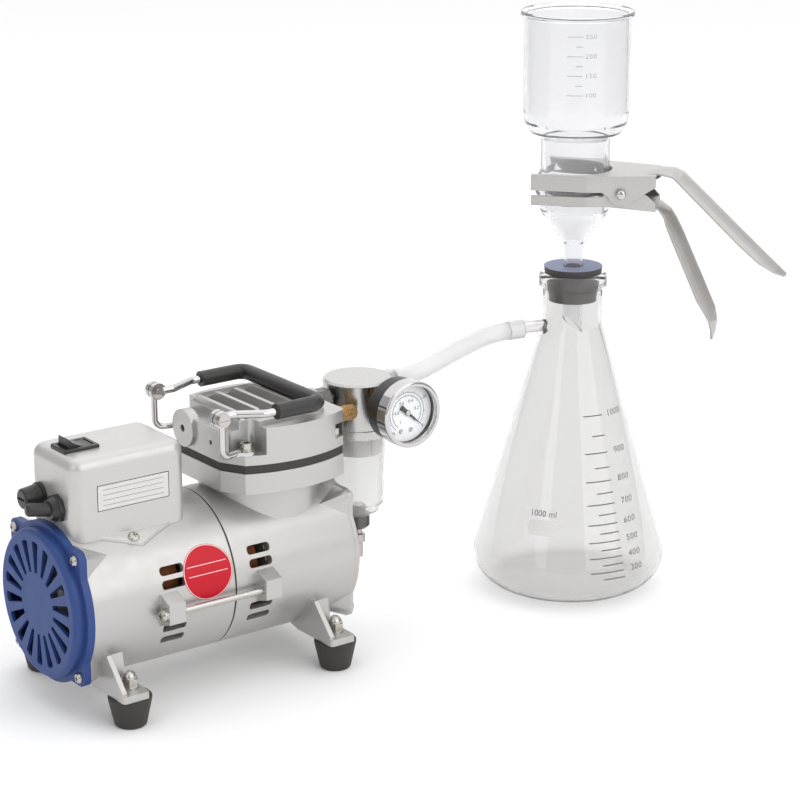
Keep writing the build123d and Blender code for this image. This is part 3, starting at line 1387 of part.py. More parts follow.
with BuildPart() as clamp_upper_jaw:
    channel(jaw_half, jaw_waist, joint_z - 12, upper_sheet_top, upper_plate_z)
    side_view([(fork_tip, upper_sheet_top), (fork_tip, joint_z + 1.5), (jaw_nose, joint_z + 1.0),
               (jaw_nose + 5, joint_z - 3), (clamp_pin_s + 8, joint_z - 5), (jaw_end, joint_z + 4),
               (jaw_end, upper_sheet_top)])
    fork_slot(upper_plate_z - 1, 10)
    pin_holes()
    add(arched_strip(upper_sheet_top, [
        (-9.5, 0, 3, 1.0, 0.1), (2.5, 2.6, 8, 0.5, 2.2), (11.5, 2.6, -12, 0.3, 3.8), (17.5, 0, -35, 0.1, 5),
        (22.5, -4.6, -43.5, 0, 5.3), (61.5, -41.6, -43.5, 0, 6), (75.5, -54.8, -43.5, 0.9, 5.4),
        (84, -62.6, -43.5, 4, 3.5), (89.5, -67.8, -43.5, 9, 1.2)]))
keep(clamp_upper_jaw, "clamp_upper_jaw")

lower_half = jaw_half - jaw_sheet - jaw_gap
lower_waist = jaw_waist - jaw_sheet - jaw_waist_gap
with BuildPart() as clamp_lower_jaw:
    channel(lower_half, lower_waist, lower_sheet_low - 5, joint_z + 9, lower_sheet_low)
    side_view([(fork_tip, lower_sheet_low), (fork_tip, joint_z - 2.3), (jaw_nose, joint_z - 2.3),
               (jaw_nose + 5, joint_z + 3), (clamp_pin_s + 8, joint_z + 3), (jaw_end - 5.5, joint_z - 2.5),
               (jaw_end, joint_z - 8), (jaw_end, lower_sheet_low - 4.4), (jaw_nose + 2, lower_sheet_low)])
    fork_slot(lower_sheet_low - 1, 10)
    pin_holes()
    add(arched_strip(lower_plate_z, [
        (-9.5, 0, -3, 1.0, 0.1), (2.5, -1.6, -16, 0.3, 2.2), (9.5, -5.9, -44, 0.1, 4.6),
        (13.2, -11.5, -60, 0, 6.2), (18, -20.7, -65, 0, 7), (37.8, -64.5, -66, 0, 7.5),
        (41.9, -74, -74, 0.9, 6.2), (43.5, -82, -88, 2.7, 4.4), (42.7, -90, -99, 5.7, 2.3),
        (40.9, -96.6, -106, 9.7, 0.6)]))
keep(clamp_lower_jaw, "clamp_lower_jaw")

pin_reach = 27.5
with BuildPart() as clamp_pin:
    with BuildSketch(clamp_elevation(-pin_reach)):
        with Locations((clamp_pin_s, joint_z)):
            Circle(clamp_pin_r)
    extrude(amount=2 * pin_reach)
keep(clamp_pin, "clamp_pin")

spring_wire_r, spring_turns = 1.0, 9
spring_r = clamp_pin_r + spring_wire_r + 0.3
with BuildPart() as clamp_spring:
    for turn in range(spring_turns):
        centre = clamp_elevation((turn - (spring_turns - 1) / 2) * 2 * spring_wire_r * 0.96)
        with BuildSketch(Plane(origin=centre.from_local_coords((clamp_pin_s, joint_z, 0)), x_dir=clamp_side,
                               z_dir=centre.y_dir)):
            with Locations((0, spring_r)):
                Circle(spring_wire_r)
        revolve(axis=Axis(centre.from_local_coords((clamp_pin_s, joint_z, 0)), clamp_side))
keep(clamp_spring, "clamp_spring")
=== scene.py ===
import json
import math

import bmesh
import bpy
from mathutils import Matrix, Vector


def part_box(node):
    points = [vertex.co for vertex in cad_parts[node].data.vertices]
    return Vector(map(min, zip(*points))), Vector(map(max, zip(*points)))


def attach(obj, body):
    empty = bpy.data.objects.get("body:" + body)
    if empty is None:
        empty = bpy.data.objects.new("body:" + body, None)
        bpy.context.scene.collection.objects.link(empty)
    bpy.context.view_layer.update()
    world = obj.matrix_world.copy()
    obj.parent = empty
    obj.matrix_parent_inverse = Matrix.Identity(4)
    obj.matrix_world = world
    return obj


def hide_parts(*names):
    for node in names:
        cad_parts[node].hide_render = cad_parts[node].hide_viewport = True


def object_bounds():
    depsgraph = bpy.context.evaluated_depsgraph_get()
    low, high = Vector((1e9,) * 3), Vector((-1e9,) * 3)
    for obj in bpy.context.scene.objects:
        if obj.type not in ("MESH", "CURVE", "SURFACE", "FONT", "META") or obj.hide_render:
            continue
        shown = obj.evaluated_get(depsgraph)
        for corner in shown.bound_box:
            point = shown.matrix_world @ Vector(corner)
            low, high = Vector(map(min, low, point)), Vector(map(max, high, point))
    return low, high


# Looks of the vacuum filtration set: finishes, prints, glass, hose, small metal heads, floor and light.
# The frame is in metres. Sizes below are in millimetres and turned into metres by mm.

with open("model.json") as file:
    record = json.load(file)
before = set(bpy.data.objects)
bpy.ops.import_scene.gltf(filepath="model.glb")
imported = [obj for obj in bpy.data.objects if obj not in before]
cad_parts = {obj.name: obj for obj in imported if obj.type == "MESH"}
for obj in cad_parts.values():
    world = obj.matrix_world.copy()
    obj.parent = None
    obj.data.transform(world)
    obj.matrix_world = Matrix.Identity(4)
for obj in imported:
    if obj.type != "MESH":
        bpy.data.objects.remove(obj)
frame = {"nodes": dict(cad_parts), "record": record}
cad_low, cad_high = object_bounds()
nodes = frame["nodes"]
scene = bpy.context.scene
mm = 0.001


def middle(node):
    low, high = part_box(node)
    return (low + high) / 2


# Places read from the frame
motor_axis = middle("seam_gasket")
gasket_low, gasket_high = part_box("seam_gasket")
gasket_inset = 0.5
barrel_r = (gasket_high.z - gasket_low.z) / 2 + gasket_inset * mm
flask_axis = middle("rubber_stopper")
funnel_axis = middle("funnel")
gauge_axis = middle("gauge_dial")
dial_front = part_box("gauge_dial")[0].y
box_half_depth = 28.5
box_front = motor_axis.y - box_half_depth * mm


# Camera at the photograph's angle

camera_place = (-0.9560, -1.3134, 0.6605)
camera_yaw, camera_pitch = 36.486, 16.952
camera_lens, camera_shift = 115.14, -0.0156

camera_data = bpy.data.cameras.new("camera")
camera_data.lens = camera_lens
camera_data.sensor_width = 36.0
camera_data.shift_x = camera_shift
camera = bpy.data.objects.new("camera", camera_data)
camera.location = camera_place
camera.rotation_euler = (math.radians(90 - camera_pitch), 0, -math.radians(camera_yaw))
scene.collection.objects.link(camera)
scene.camera = camera


# Finishes

def add(tree, kind, inputs=None, **settings):
    """New node with its settings and the values of its input sockets."""
    node = tree.nodes.new(kind)
    for name, value in settings.items():
        setattr(node, name, value)
    for name, value in (inputs or {}).items():
        node.inputs[name].default_value = value
    return node


def shade(colour, factor):
    return tuple(min(1.0, channel * factor) for channel in colour[:3]) + (1.0,)


def noise(tree, place, size, detail=3.0, roughness=0.55):
    """Noise whose patches are about this many millimetres across."""
    inputs = {"Scale": 1 / (size * mm), "Detail": detail, "Roughness": roughness}
    node = add(tree, "ShaderNodeTexNoise", inputs)
    tree.links.new(place, node.inputs["Vector"])
    return node.outputs["Fac"]


def blend(tree, factor, first, second):
    """Colour between two colours or sockets."""
    node = add(tree, "ShaderNodeMix", data_type="RGBA")
    sockets = [s for s in node.inputs if s.enabled]
    for socket, value in zip(sockets, (factor, first, second)):
        if isinstance(value, bpy.types.NodeSocket):
            tree.links.new(value, socket)
        else:
            socket.default_value = value
    return [s for s in node.outputs if s.enabled][0]


def spread(tree, value, low, high, from_low=0.3, from_high=0.7):
    """Value stretched from one range to another."""
    inputs = {"From Min": from_low, "From Max": from_high, "To Min": low, "To Max": high}
    node = add(tree, "ShaderNodeMapRange", inputs)
    tree.links.new(value, node.inputs["Value"])
    return node.outputs["Result"]


def start(name, stretch=(1, 1, 1), turn=0.0):
    """New material whose pattern is drawn out by stretch along the axes, turned about the vertical."""
    material = bpy.data.materials.new(name)
    material.use_nodes = True
    tree = material.node_tree
    where = add(tree, "ShaderNodeTexCoord")
    place = add(tree, "ShaderNodeMapping", {"Scale": stretch, "Rotation": (0, 0, math.radians(turn))},
                vector_type="TEXTURE")
    tree.links.new(where.outputs["Object"], place.inputs["Vector"])
    return material, tree, tree.nodes["Principled BSDF"], place.outputs["Vector"]


def finish_of(name, colour, roughness, mottle=0.05, mottle_size=15, grain_size=0.5, grain_depth=0.01,
              gloss=0.06, edge=0.35, wear=0.0, wear_colour=(0.8, 0.8, 0.8), stretch=(1, 1, 1), turn=0.0,
              **sockets):
    """Finish with uneven colour and gloss, a fine grain, and softened edges painted lighter: partly wear,
    partly a painted highlight.
    """
    material, tree, shader, place = start(name, stretch, turn)
    patches = noise(tree, place, mottle_size)
    grain = noise(tree, place, grain_size, detail=2.0)
    tone = blend(tree, patches, shade(colour, 1 - mottle), shade(colour, 1 + mottle))
    tone = blend(tree, spread(tree, grain, 0, 1), tone, shade(colour, 1 + mottle * 0.6))
    bump = add(tree, "ShaderNodeBump", {"Strength": 0.6, "Distance": grain_depth * mm})
    tree.links.new(grain, bump.inputs["Height"])
    if edge:
        bevel = add(tree, "ShaderNodeBevel", {"Radius": edge * mm}, samples=4)
        tree.links.new(bevel.outputs["Normal"], bump.inputs["Normal"])
        # Edges painted lighter towards the edge colour: partly wear, partly a painted highlight along the
        # edges.
        if wear:
            plain = add(tree, "ShaderNodeNewGeometry")
            match = add(tree, "ShaderNodeVectorMath", operation="DOT_PRODUCT")
            tree.links.new(bevel.outputs["Normal"], match.inputs[0])
            tree.links.new(plain.outputs["Normal"], match.inputs[1])
            rubbed_and_lit_edges = spread(tree, match.outputs["Value"], wear, 0.0, 0.88, 0.995)
            tone = blend(tree, rubbed_and_lit_edges, tone, shade(wear_colour, 1.0))
    tree.links.new(tone, shader.inputs["Base Color"])
    tree.links.new(spread(tree, patches, roughness - gloss, roughness + gloss), shader.inputs["Roughness"])
    tree.links.new(bump.outputs["Normal"], shader.inputs["Normal"])
    for socket, value in sockets.items():
        shader.inputs[socket.replace("_", " ")].default_value = value
    return material


wave_period = 0.314


def banded(material, size, depth, direction="X"):
    """Adds fine ridges this many millimetres apart, such as laminations or wire turns, to a finish."""
    tree = material.node_tree
    place = next(n for n in tree.nodes if n.type == "MAPPING").outputs["Vector"]
    inputs = {"Scale": wave_period / (size * mm), "Distortion": 0.6, "Detail": 1.0}
    wave = add(tree, "ShaderNodeTexWave", inputs, bands_direction=direction)
    tree.links.new(place, wave.inputs["Vector"])
    ridge = add(tree, "ShaderNodeBump", {"Strength": 0.9, "Distance": depth * mm})
    tree.links.new(wave.outputs["Fac"], ridge.inputs["Height"])
    grain = next(n for n in tree.nodes if n.type == "BUMP" and n != ridge)
    if grain.inputs["Normal"].is_linked:
        tree.links.new(grain.inputs["Normal"].links[0].from_socket, ridge.inputs["Normal"])
    tree.links.new(ridge.outputs["Normal"], grain.inputs["Normal"])
    return material


def granular(name, colour, grain_size, roughness=0.5, metallic=0.85):
    """Sintered grains: rounded bumps, with painted shade darkening the gaps between them."""
    material, tree, shader, place = start(name)
    cells = add(tree, "ShaderNodeTexVoronoi", {"Scale": 1 / (grain_size * mm)})
    tree.links.new(place, cells.inputs["Vector"])
    # Gaps between grains are painted darker, a painted shade in the crevices; the same mask raises the
    # grains as bumps.
    gaps_and_painted_shade = spread(tree, cells.outputs["Distance"], 1.0, 0.0, 0.1, 0.7)
    tone = blend(tree, gaps_and_painted_shade, shade(colour, 0.35), shade(colour, 1.1))
    bump = add(tree, "ShaderNodeBump", {"Strength": 1.0, "Distance": grain_size * 0.5 * mm})
    tree.links.new(gaps_and_painted_shade, bump.inputs["Height"])
    tree.links.new(tone, shader.inputs["Base Color"])
    tree.links.new(bump.outputs["Normal"], shader.inputs["Normal"])
    shader.inputs["Metallic"].default_value = metallic
    shader.inputs["Roughness"].default_value = roughness
    return material


def glass(name, colour, roughness, ior, transmission=1.0, wave=0.02, wave_size=25, shadow=0.2):
    """Clear wall with faint waves and smears, which lets light through to what stands behind it."""
    material, tree, shader, place = start(name)
    slow = noise(tree, place, wave_size, detail=1.0)
    smear = noise(tree, place, wave_size * 0.6, detail=4.0)
    tone = blend(tree, slow, shade(colour, 0.985), shade(colour, 1.0))
    smeared = spread(tree, smear, max(0.0, roughness - 0.01), roughness + 0.02)
    tree.links.new(tone, shader.inputs["Base Color"])
    tree.links.new(smeared, shader.inputs["Roughness"])
    bump = add(tree, "ShaderNodeBump", {"Strength": 0.5, "Distance": wave * mm})
    tree.links.new(slow, bump.inputs["Height"])
    tree.links.new(bump.outputs["Normal"], shader.inputs["Normal"])
    rays = add(tree, "ShaderNodeLightPath")
    seen = spread(tree, rays.outputs["Is Shadow Ray"], 1.0, shadow, 0.0, 1.0)
    tree.links.new(seen, shader.inputs["Alpha"])
    shader.inputs["Transmission Weight"].default_value = transmission
    shader.inputs["IOR"].default_value = ior
    return material


def two_tone(name, side_colour, painted_light_top_colour):
    """Moulded rubber whose upward-facing top is painted paler and bluer than its sides: painted light,
    which also lifts the shade on the top.
    """
    material = finish_of(name, side_colour, 0.55, mottle=0.12, mottle_size=6, grain_size=0.35,
                         grain_depth=0.02)
    tree = material.node_tree
    shader = tree.nodes["Principled BSDF"]
    side = shader.inputs["Base Color"].links[0].from_socket
    facing = add(tree, "ShaderNodeNewGeometry")
    split = add(tree, "ShaderNodeSeparateXYZ")
    tree.links.new(facing.outputs["True Normal"], split.inputs[0])
    # Upward-facing faces blend to the top colour: painted light on the stopper's top.
    upward_painted_light = spread(tree, split.outputs["Z"], 0.0, 1.0, 0.7, 0.95)
    tree.links.new(blend(tree, upward_painted_light, side, shade(painted_light_top_colour, 1.0)), shader.inputs["Base Color"])
    return material


# The edge wear settings below paint edges lighter: partly wear, partly a painted highlight.
silver = dict(mottle=0.03, mottle_size=9, grain_size=0.3, grain_depth=0.006, wear=0.2,
              wear_colour=(0.72, 0.71, 0.69), edge=0.7)
brushed = dict(mottle=0.22, mottle_size=11.0, grain_size=0.3, grain_depth=0.0004, gloss=0.03,
               stretch=(14, 1, 1), turn=-47.5, wear=0.3, wear_colour=(0.74, 0.73, 0.715))
bright = dict(mottle=0.08, mottle_size=2, grain_depth=0.003)

# Where a finish has edge wear, its edges are painted lighter: partly wear, partly a painted highlight.
finishes = {
    "silver_paint": finish_of("silver_paint", (0.50, 0.49, 0.475), 0.35, Metallic=0.68, **silver),
    "box_paint": finish_of("box_paint", (0.53, 0.52, 0.505), 0.35, Metallic=0.6, **silver),
    "blue_guard": finish_of("blue_guard", (0.023, 0.056, 0.200), 0.48, mottle=0.08, grain_depth=0.02,
                            grain_size=0.6, wear=0.2, wear_colour=(0.10, 0.16, 0.36), edge=0.5,
                            Specular_IOR_Level=0.35),
    "black_rubber": finish_of("black_rubber", (0.030, 0.028, 0.026), 0.62, mottle=0.2, mottle_size=5,
                              grain_depth=0.04, wear=0.25, wear_colour=(0.09, 0.085, 0.08)),
    "black_plastic": finish_of("black_plastic", (0.018, 0.018, 0.017), 0.36, mottle=0.15, grain_depth=0.012,
                               wear=0.25, wear_colour=(0.06, 0.06, 0.06)),
    "grip_rubber": finish_of("grip_rubber", (0.022, 0.021, 0.020), 0.38, mottle=0.15, mottle_size=8,
                             grain_depth=0.012),
    "zinc_steel": finish_of("zinc_steel", (0.50, 0.475, 0.445), 0.26, Metallic=1.0, edge=0.25, **bright),
    "machined_steel": finish_of("machined_steel", (0.5, 0.5, 0.5), 0.3, Metallic=1.0, stretch=(1, 10, 10),
                                edge=0.2),
    "lamination": banded(finish_of("lamination", (0.22, 0.22, 0.23), 0.5, Metallic=0.8), 0.6, 0.08),
    "copper_winding": banded(finish_of("copper_winding", (0.20, 0.065, 0.022), 0.4, Metallic=0.7,
                                       mottle=0.25, mottle_size=2), 0.9, 0.3),
    "cast_alloy": finish_of("cast_alloy", (0.5, 0.5, 0.49), 0.42, Metallic=0.9, mottle=0.08, mottle_size=4),
    "seal_plastic": finish_of("seal_plastic", (0.028, 0.026, 0.024), 0.5, mottle=0.15, edge=0.0),
    "plated_rod": finish_of("plated_rod", (0.56, 0.55, 0.545), 0.1, Metallic=1.0, mottle=0.04, gloss=0.03,
                            grain_depth=0.002, edge=0.2),
    "capacitor_can": finish_of("capacitor_can", (0.6, 0.6, 0.61), 0.3, Metallic=1.0),
    "dark_fitting": finish_of("dark_fitting", (0.13, 0.125, 0.12), 0.28, Metallic=1.0, edge=0.3),
    "sintered_brass": granular("sintered_brass", (0.78, 0.48, 0.19), 0.8),
    "plain_brass": finish_of("plain_brass", (0.55, 0.36, 0.14), 0.28, Metallic=1.0, edge=0.2, **bright),
    "trap_alloy": finish_of("trap_alloy", (0.50, 0.495, 0.485), 0.27, Metallic=1.0, stretch=(1, 1, 50),
                            mottle=0.03, mottle_size=1.2, grain_size=0.25, grain_depth=0.0008, gloss=0.03,
                            edge=0.5),
    "clear_bowl": glass("clear_bowl", (0.90, 0.90, 0.895), 0.05, 1.45, transmission=0.85, wave=0.01,
                        shadow=0.05),
    "white_plastic": finish_of("white_plastic", (0.78, 0.76, 0.73), 0.4, mottle=0.04, grain_depth=0.01),
    "filter_white": granular("filter_white", (0.85, 0.85, 0.83), 0.5, roughness=0.9, metallic=0.0),
    "dial_white": finish_of("dial_white", (0.93, 0.94, 0.95), 0.5, mottle=0.012, mottle_size=8,
                            grain_depth=0.003, edge=0.0),
    "pointer_black": finish_of("pointer_black", (0.012, 0.012, 0.012), 0.4, edge=0.1, mottle=0.2),
    "case_black": finish_of("case_black", (0.022, 0.021, 0.020), 0.38, mottle=0.15, mottle_size=6,
                            grain_depth=0.015, wear=0.2, wear_colour=(0.06, 0.06, 0.06), edge=0.5),
    "clear_glass": glass("clear_glass", (0.83, 0.826, 0.822), 0.0, 1.36, transmission=0.97, shadow=0.04),
    # The stopper's paler, bluer top colour is painted light on its upward face.
    "stopper_rubber": two_tone("stopper_rubber", (0.040, 0.036, 0.034), (0.225, 0.250, 0.385)),
    "frit_white": granular("frit_white", (0.9, 0.9, 0.88), 0.6, roughness=0.8, metallic=0.0),
    "clamp_alloy": finish_of("clamp_alloy", (0.44, 0.43, 0.415), 0.36, Metallic=0.7, edge=1.2, **brushed),
    "spring_steel": finish_of("spring_steel", (0.32, 0.27, 0.2), 0.3, Metallic=1.0, mottle=0.15,
                              mottle_size=1.5),
    "clear_hose": glass("clear_hose", (0.92, 0.92, 0.92), 0.22, 1.43, transmission=0.5, wave=0.04,
                        wave_size=6, shadow=0.5),
}
funnel_glass = glass("funnel_glass", (0.905, 0.905, 0.91), 0.0, 1.33, transmission=0.95, shadow=0.04)
lens_clear = glass("lens_clear", (1.0, 1.0, 1.0), 0.01, 1.3, wave=0.004, shadow=0.0)

for row in frame["record"]["subparts"]:
    mesh = nodes[row["node"]].data
    mesh.materials.clear()
    mesh.materials.append(finishes[row["material_slot"]])
for node, material in (("funnel", funnel_glass), ("filter_base", funnel_glass), ("gauge_lens", lens_clear),
                       ("drain_stem", finishes["zinc_steel"]), ("drain_fitting", finishes["dark_fitting"])):
    nodes[node].data.materials[0] = material


# Pieces

def piece(name, mesh, material, body):
    obj = bpy.data.objects.new(name, mesh)
    obj.data.materials.clear()
    obj.data.materials.append(material)
    scene.collection.objects.link(obj)
    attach(obj, body)
    return obj


def smooth(mesh):
    mesh.polygons.foreach_set("use_smooth", [True] * len(mesh.polygons))
    mesh.update()


def tube(path, outer, inner, sides=40):
    """Closed hollow tube round a line of points."""
    bm = bmesh.new()
    rings = []
    side = Vector((0, 1, 0))
    for index, point in enumerate(path):
        way = (path[min(index + 1, len(path) - 1)] - path[max(index - 1, 0)]).normalized()
        side = (side - way * side.dot(way)).normalized()
        up = way.cross(side)
        angles = [2 * math.pi * k / sides for k in range(sides)]
        spokes = [side * math.cos(a) + up * math.sin(a) for a in angles]
        rings.append(([bm.verts.new(point + s * outer) for s in spokes],
                      [bm.verts.new(point + s * inner) for s in spokes]))
    for (outer_a, inner_a), (outer_b, inner_b) in zip(rings, rings[1:]):
        for k in range(sides):
            n = (k + 1) % sides
            bm.faces.new((outer_a[k], outer_a[n], outer_b[n], outer_b[k]))
            bm.faces.new((inner_a[n], inner_a[k], inner_b[k], inner_b[n]))
    for (outer_end, inner_end), flip in ((rings[0], True), (rings[-1], False)):
        for k in range(sides):
            n = (k + 1) % sides
            corners = (outer_end[k], outer_end[n], inner_end[n], inner_end[k])
            bm.faces.new(tuple(reversed(corners)) if flip else corners)
    bmesh.ops.recalc_face_normals(bm, faces=bm.faces)
    mesh = bpy.data.meshes.new("tube")
    bm.to_mesh(mesh)
    bm.free()
    smooth(mesh)
    return mesh


def turned(profile, name, axis_point, way, material, body, sides=40):
    """Surface of revolution from (radius, height) points in millimetres, closed at both ends."""
    way = Vector(way).normalized()
    side = way.orthogonal().normalized()
    up = way.cross(side)
    bm = bmesh.new()
    rings = []
    for radius, height in profile:
        centre = Vector(axis_point) + way * height * mm
        if radius < 1e-6:
            rings.append([bm.verts.new(centre)])
        else:
            rings.append([bm.verts.new(centre + (side * math.cos(a) + up * math.sin(a)) * radius * mm)
                          for a in (2 * math.pi * k / sides for k in range(sides))])
    for first, second in zip(rings, rings[1:]):
        for k in range(sides):
            n = (k + 1) % sides
            around = ((first, k), (first, n), (second, n), (second, k))
            corners = [ring[at % len(ring)] for ring, at in around]
            unique = list(dict.fromkeys(corners))
            if len(unique) > 2:
                bm.faces.new(unique)
    bmesh.ops.recalc_face_normals(bm, faces=bm.faces)
    mesh = bpy.data.meshes.new(name)
    bm.to_mesh(mesh)
    bm.free()
    smooth(mesh)
    return piece(name, mesh, material, body)


# Hose: the control points of its route, in millimetres, as the part has them

hose_route = [(24.4, 33.9, 168.0), (42.4, 33.9, 168.0), (59.9, 33.9, 172.6), (78.4, 32.5, 179.4),
              (103.03, 24.0, 190.0), (123.8, 18.43, 190.0)]
hose_r, hose_bore_r, hose_length = 6.2, 3.85, 105.0
swollen_length, swollen_wall, swollen_gap = 11, 0.4, 0.02


def nurbs_line(points, resolution=24):
    """Points along a smooth NURBS spline that has these control points."""
    curve = bpy.data.curves.new("route", "CURVE")
    curve.dimensions = "3D"
    spline = curve.splines.new("NURBS")
    spline.points.add(len(points) - 1)
    for point, place in zip(spline.points, points):
        point.co = (*[value * mm for value in place], 1.0)
    spline.order_u = 3
    spline.use_endpoint_u = True
    spline.resolution_u = resolution
    holder = bpy.data.objects.new("route", curve)
    scene.collection.objects.link(holder)
    line = bpy.data.meshes.new_from_object(holder.evaluated_get(bpy.context.evaluated_depsgraph_get()))
    found = [vertex.co.copy() for vertex in line.vertices]
    bpy.data.objects.remove(holder)
    bpy.data.meshes.remove(line)
    return found


hose_line = nurbs_line(hose_route)
hose = piece("suction_hose", tube(hose_line, hose_r * mm, hose_bore_r * mm), finishes["clear_hose"],
             "base")
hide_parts("vacuum_hose")
swollen_line = [point for point in hose_line if (point - hose_line[-1]).length < swollen_length * mm]
swollen_tube = tube(swollen_line, (hose_r + swollen_wall) * mm, (hose_r + swollen_gap) * mm)
hose_end = piece("hose_end", swollen_tube, finishes["clear_hose"], "base")
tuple(hose_line[0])


# Prints: drawn flat in millimetres, then laid on their surface

ink, size_per_height, step_length = 0.05, 1.38, 1.5


class Print:
    """Flat shapes with a thin body, which lay() bends onto a surface."""

    def __init__(self):
        self.bm = bmesh.new()

    def quad_strip(self, left, right):
        """Thin solid strip between two lines of (u, v) points."""
        low = [(self.bm.verts.new((*a, 0)), self.bm.verts.new((*b, 0))) for a, b in zip(left, right)]
        high = [(self.bm.verts.new((*a, ink)), self.bm.verts.new((*b, ink))) for a, b in zip(left, right)]
        for k in range(len(low) - 1):
            self.bm.faces.new((high[k][0], high[k][1], high[k + 1][1], high[k + 1][0]))
            self.bm.faces.new((low[k][0], low[k + 1][0], low[k + 1][1], low[k][1]))
            for side in (0, 1):
                self.bm.faces.new((low[k][side], high[k][side], high[k + 1][side], low[k + 1][side]))
        for end in (0, -1):
            self.bm.faces.new((low[end][0], low[end][1], high[end][1], high[end][0]))

    def bar(self, u_from, u_to, v, thickness):
        steps = max(1, math.ceil(abs(u_to - u_from) / step_length))
        along = [u_from + (u_to - u_from) * k / steps for k in range(steps + 1)]
        self.quad_strip([(u, v - thickness / 2) for u in along], [(u, v + thickness / 2) for u in along])

    def upright_bar(self, u, v_from, v_to, thickness):
        steps = max(1, math.ceil(abs(v_to - v_from) / step_length))
        along = [v_from + (v_to - v_from) * k / steps for k in range(steps + 1)]
        self.quad_strip([(u - thickness / 2, v) for v in along], [(u + thickness / 2, v) for v in along])

    def arc(self, radius, thickness, start, end, centre=(0, 0)):
        """Part of a ring, from one angle to another in degrees."""
        steps = max(2, math.ceil(abs(end - start) / 5))
        angles = [math.radians(start + (end - start) * k / steps) for k in range(steps + 1)]
        lines = [[(centre[0] + r * math.cos(a), centre[1] + r * math.sin(a)) for a in angles]
                 for r in (radius - thickness / 2, radius + thickness / 2)]
        self.quad_strip(*lines)

    def spoke(self, angle, inner, outer, thickness):
        way = Vector((math.cos(math.radians(angle)), math.sin(math.radians(angle))))
        side = Vector((-way.y, way.x)) * thickness / 2
        ends = [way * inner, way * outer]
        self.quad_strip([tuple(p - side) for p in ends], [tuple(p + side) for p in ends])

    def stadium(self, u, v, width, height, corner, steps=40):
        """Filled field with rounded corners, cut into narrow strips so that it can bend."""
        left, right = [], []
        for k in range(steps + 1):
            x = -width / 2 + width * k / steps
            inside = max(0.0, abs(x) - (width / 2 - corner))
            half = height / 2 - corner + math.sqrt(max(corner ** 2 - inside ** 2, 1e-4))
            left.append((u + x, v - half))
            right.append((u + x, v + half))
        self.quad_strip(left, right)

    def disc(self, radius, steps=72):
        """Filled round field, cut into strips that step upward so that it can bend round the barrel."""
        heights = [-radius * math.cos(math.pi * k / steps) for k in range(steps + 1)]
        halves = [max(0.05, math.sqrt(max(0.0, radius ** 2 - v ** 2))) for v in heights]
        self.quad_strip([(-half, v) for half, v in zip(halves, heights)],
                        [(half, v) for half, v in zip(halves, heights)])

    def text(self, body, u, v, height, stretch=1.0, spacing=1.0):
        curve = bpy.data.curves.new("print", "FONT")
        curve.body = body
        curve.size = height * size_per_height
        curve.space_character = spacing
        curve.align_x = "CENTER"
        curve.align_y = "CENTER"
        curve.extrude = ink / 2
        curve.resolution_u = 3
        holder = bpy.data.objects.new("print", curve)
        scene.collection.objects.link(holder)
        mesh = bpy.data.meshes.new_from_object(holder.evaluated_get(bpy.context.evaluated_depsgraph_get()))
        bpy.data.objects.remove(holder)
        before = len(self.bm.verts)
        self.bm.from_mesh(mesh)
        self.bm.verts.ensure_lookup_table()
        for vertex in self.bm.verts[before:]:
            x, y, z = vertex.co
            vertex.co = (u + x * stretch, v + y, z + ink / 2)
        bpy.data.meshes.remove(mesh)

    def lay(self, name, place, material, body):
        """Moves every point to its place on the surface and makes the piece."""
        bmesh.ops.remove_doubles(self.bm, verts=self.bm.verts, dist=1e-5)
        bmesh.ops.recalc_face_normals(self.bm, faces=self.bm.faces)
        for vertex in self.bm.verts:
            vertex.co = place(*vertex.co)
        bmesh.ops.recalc_face_normals(self.bm, faces=self.bm.faces)
        mesh = bpy.data.meshes.new(name)
        self.bm.to_mesh(mesh)
        self.bm.free()
        return piece(name, mesh, material, body)


def on_turned(axis, radius_at, facing):
    """Places (arc length, height, lift) round a vertical axis, from the facing angle."""
    def place(u, v, w):
        radius = radius_at(v)
        angle = math.radians(facing) + u / radius
        out = (radius + w) * mm
        return Vector((axis.x + out * math.cos(angle), axis.y + out * math.sin(angle), v * mm))
    return place


def on_front(x, y, z):
    """Places (right, up, lift) on a flat face that looks to the front."""
    def place(u, v, w):
        return Vector((x + u * mm, y - w * mm, z + v * mm))
    return place


def on_barrel(x, angle):
    """Places (right, up round the barrel, lift) on the front of the barrel."""
    def place(u, v, w):
        turn = math.radians(angle) + v * mm / barrel_r
        out = barrel_r + w * mm
        forward, up = out * math.cos(turn), out * math.sin(turn)
        return Vector((x + u * mm, motor_axis.y - forward, motor_axis.z + up))
    return place


lift = 0.04
enamel_grey = finish_of("enamel_grey", (0.12, 0.118, 0.115), 0.55, mottle=0.15, mottle_size=3, edge=0.0)
enamel_pale = finish_of("enamel_pale", (0.38, 0.385, 0.385), 0.6, mottle=0.05, mottle_size=3, edge=0.0)
enamel_white = finish_of("enamel_white", (0.70, 0.685, 0.665), 0.6, mottle=0.05, mottle_size=3, edge=0.0)
dial_ink = finish_of("dial_ink", (0.015, 0.025, 0.10), 0.5, mottle=0.1, mottle_size=2, edge=0.0)
sticker_red = finish_of("sticker_red", (0.50, 0.005, 0.018), 0.38, mottle=0.05, mottle_size=10,
                        grain_depth=0.003, edge=0.0, Specular_IOR_Level=0.25)
sticker_pale = finish_of("sticker_pale", (0.78, 0.62, 0.62), 0.4, mottle=0.04, edge=0.0)
label_film = finish_of("label_film", (0.62, 0.61, 0.595), 0.3, mottle=0.02, edge=0.0, Metallic=0.3)
label_ink = finish_of("label_ink", (0.03, 0.03, 0.03), 0.5, mottle=0.1, edge=0.0)


# Flask scale: its marks follow the volume of the cone

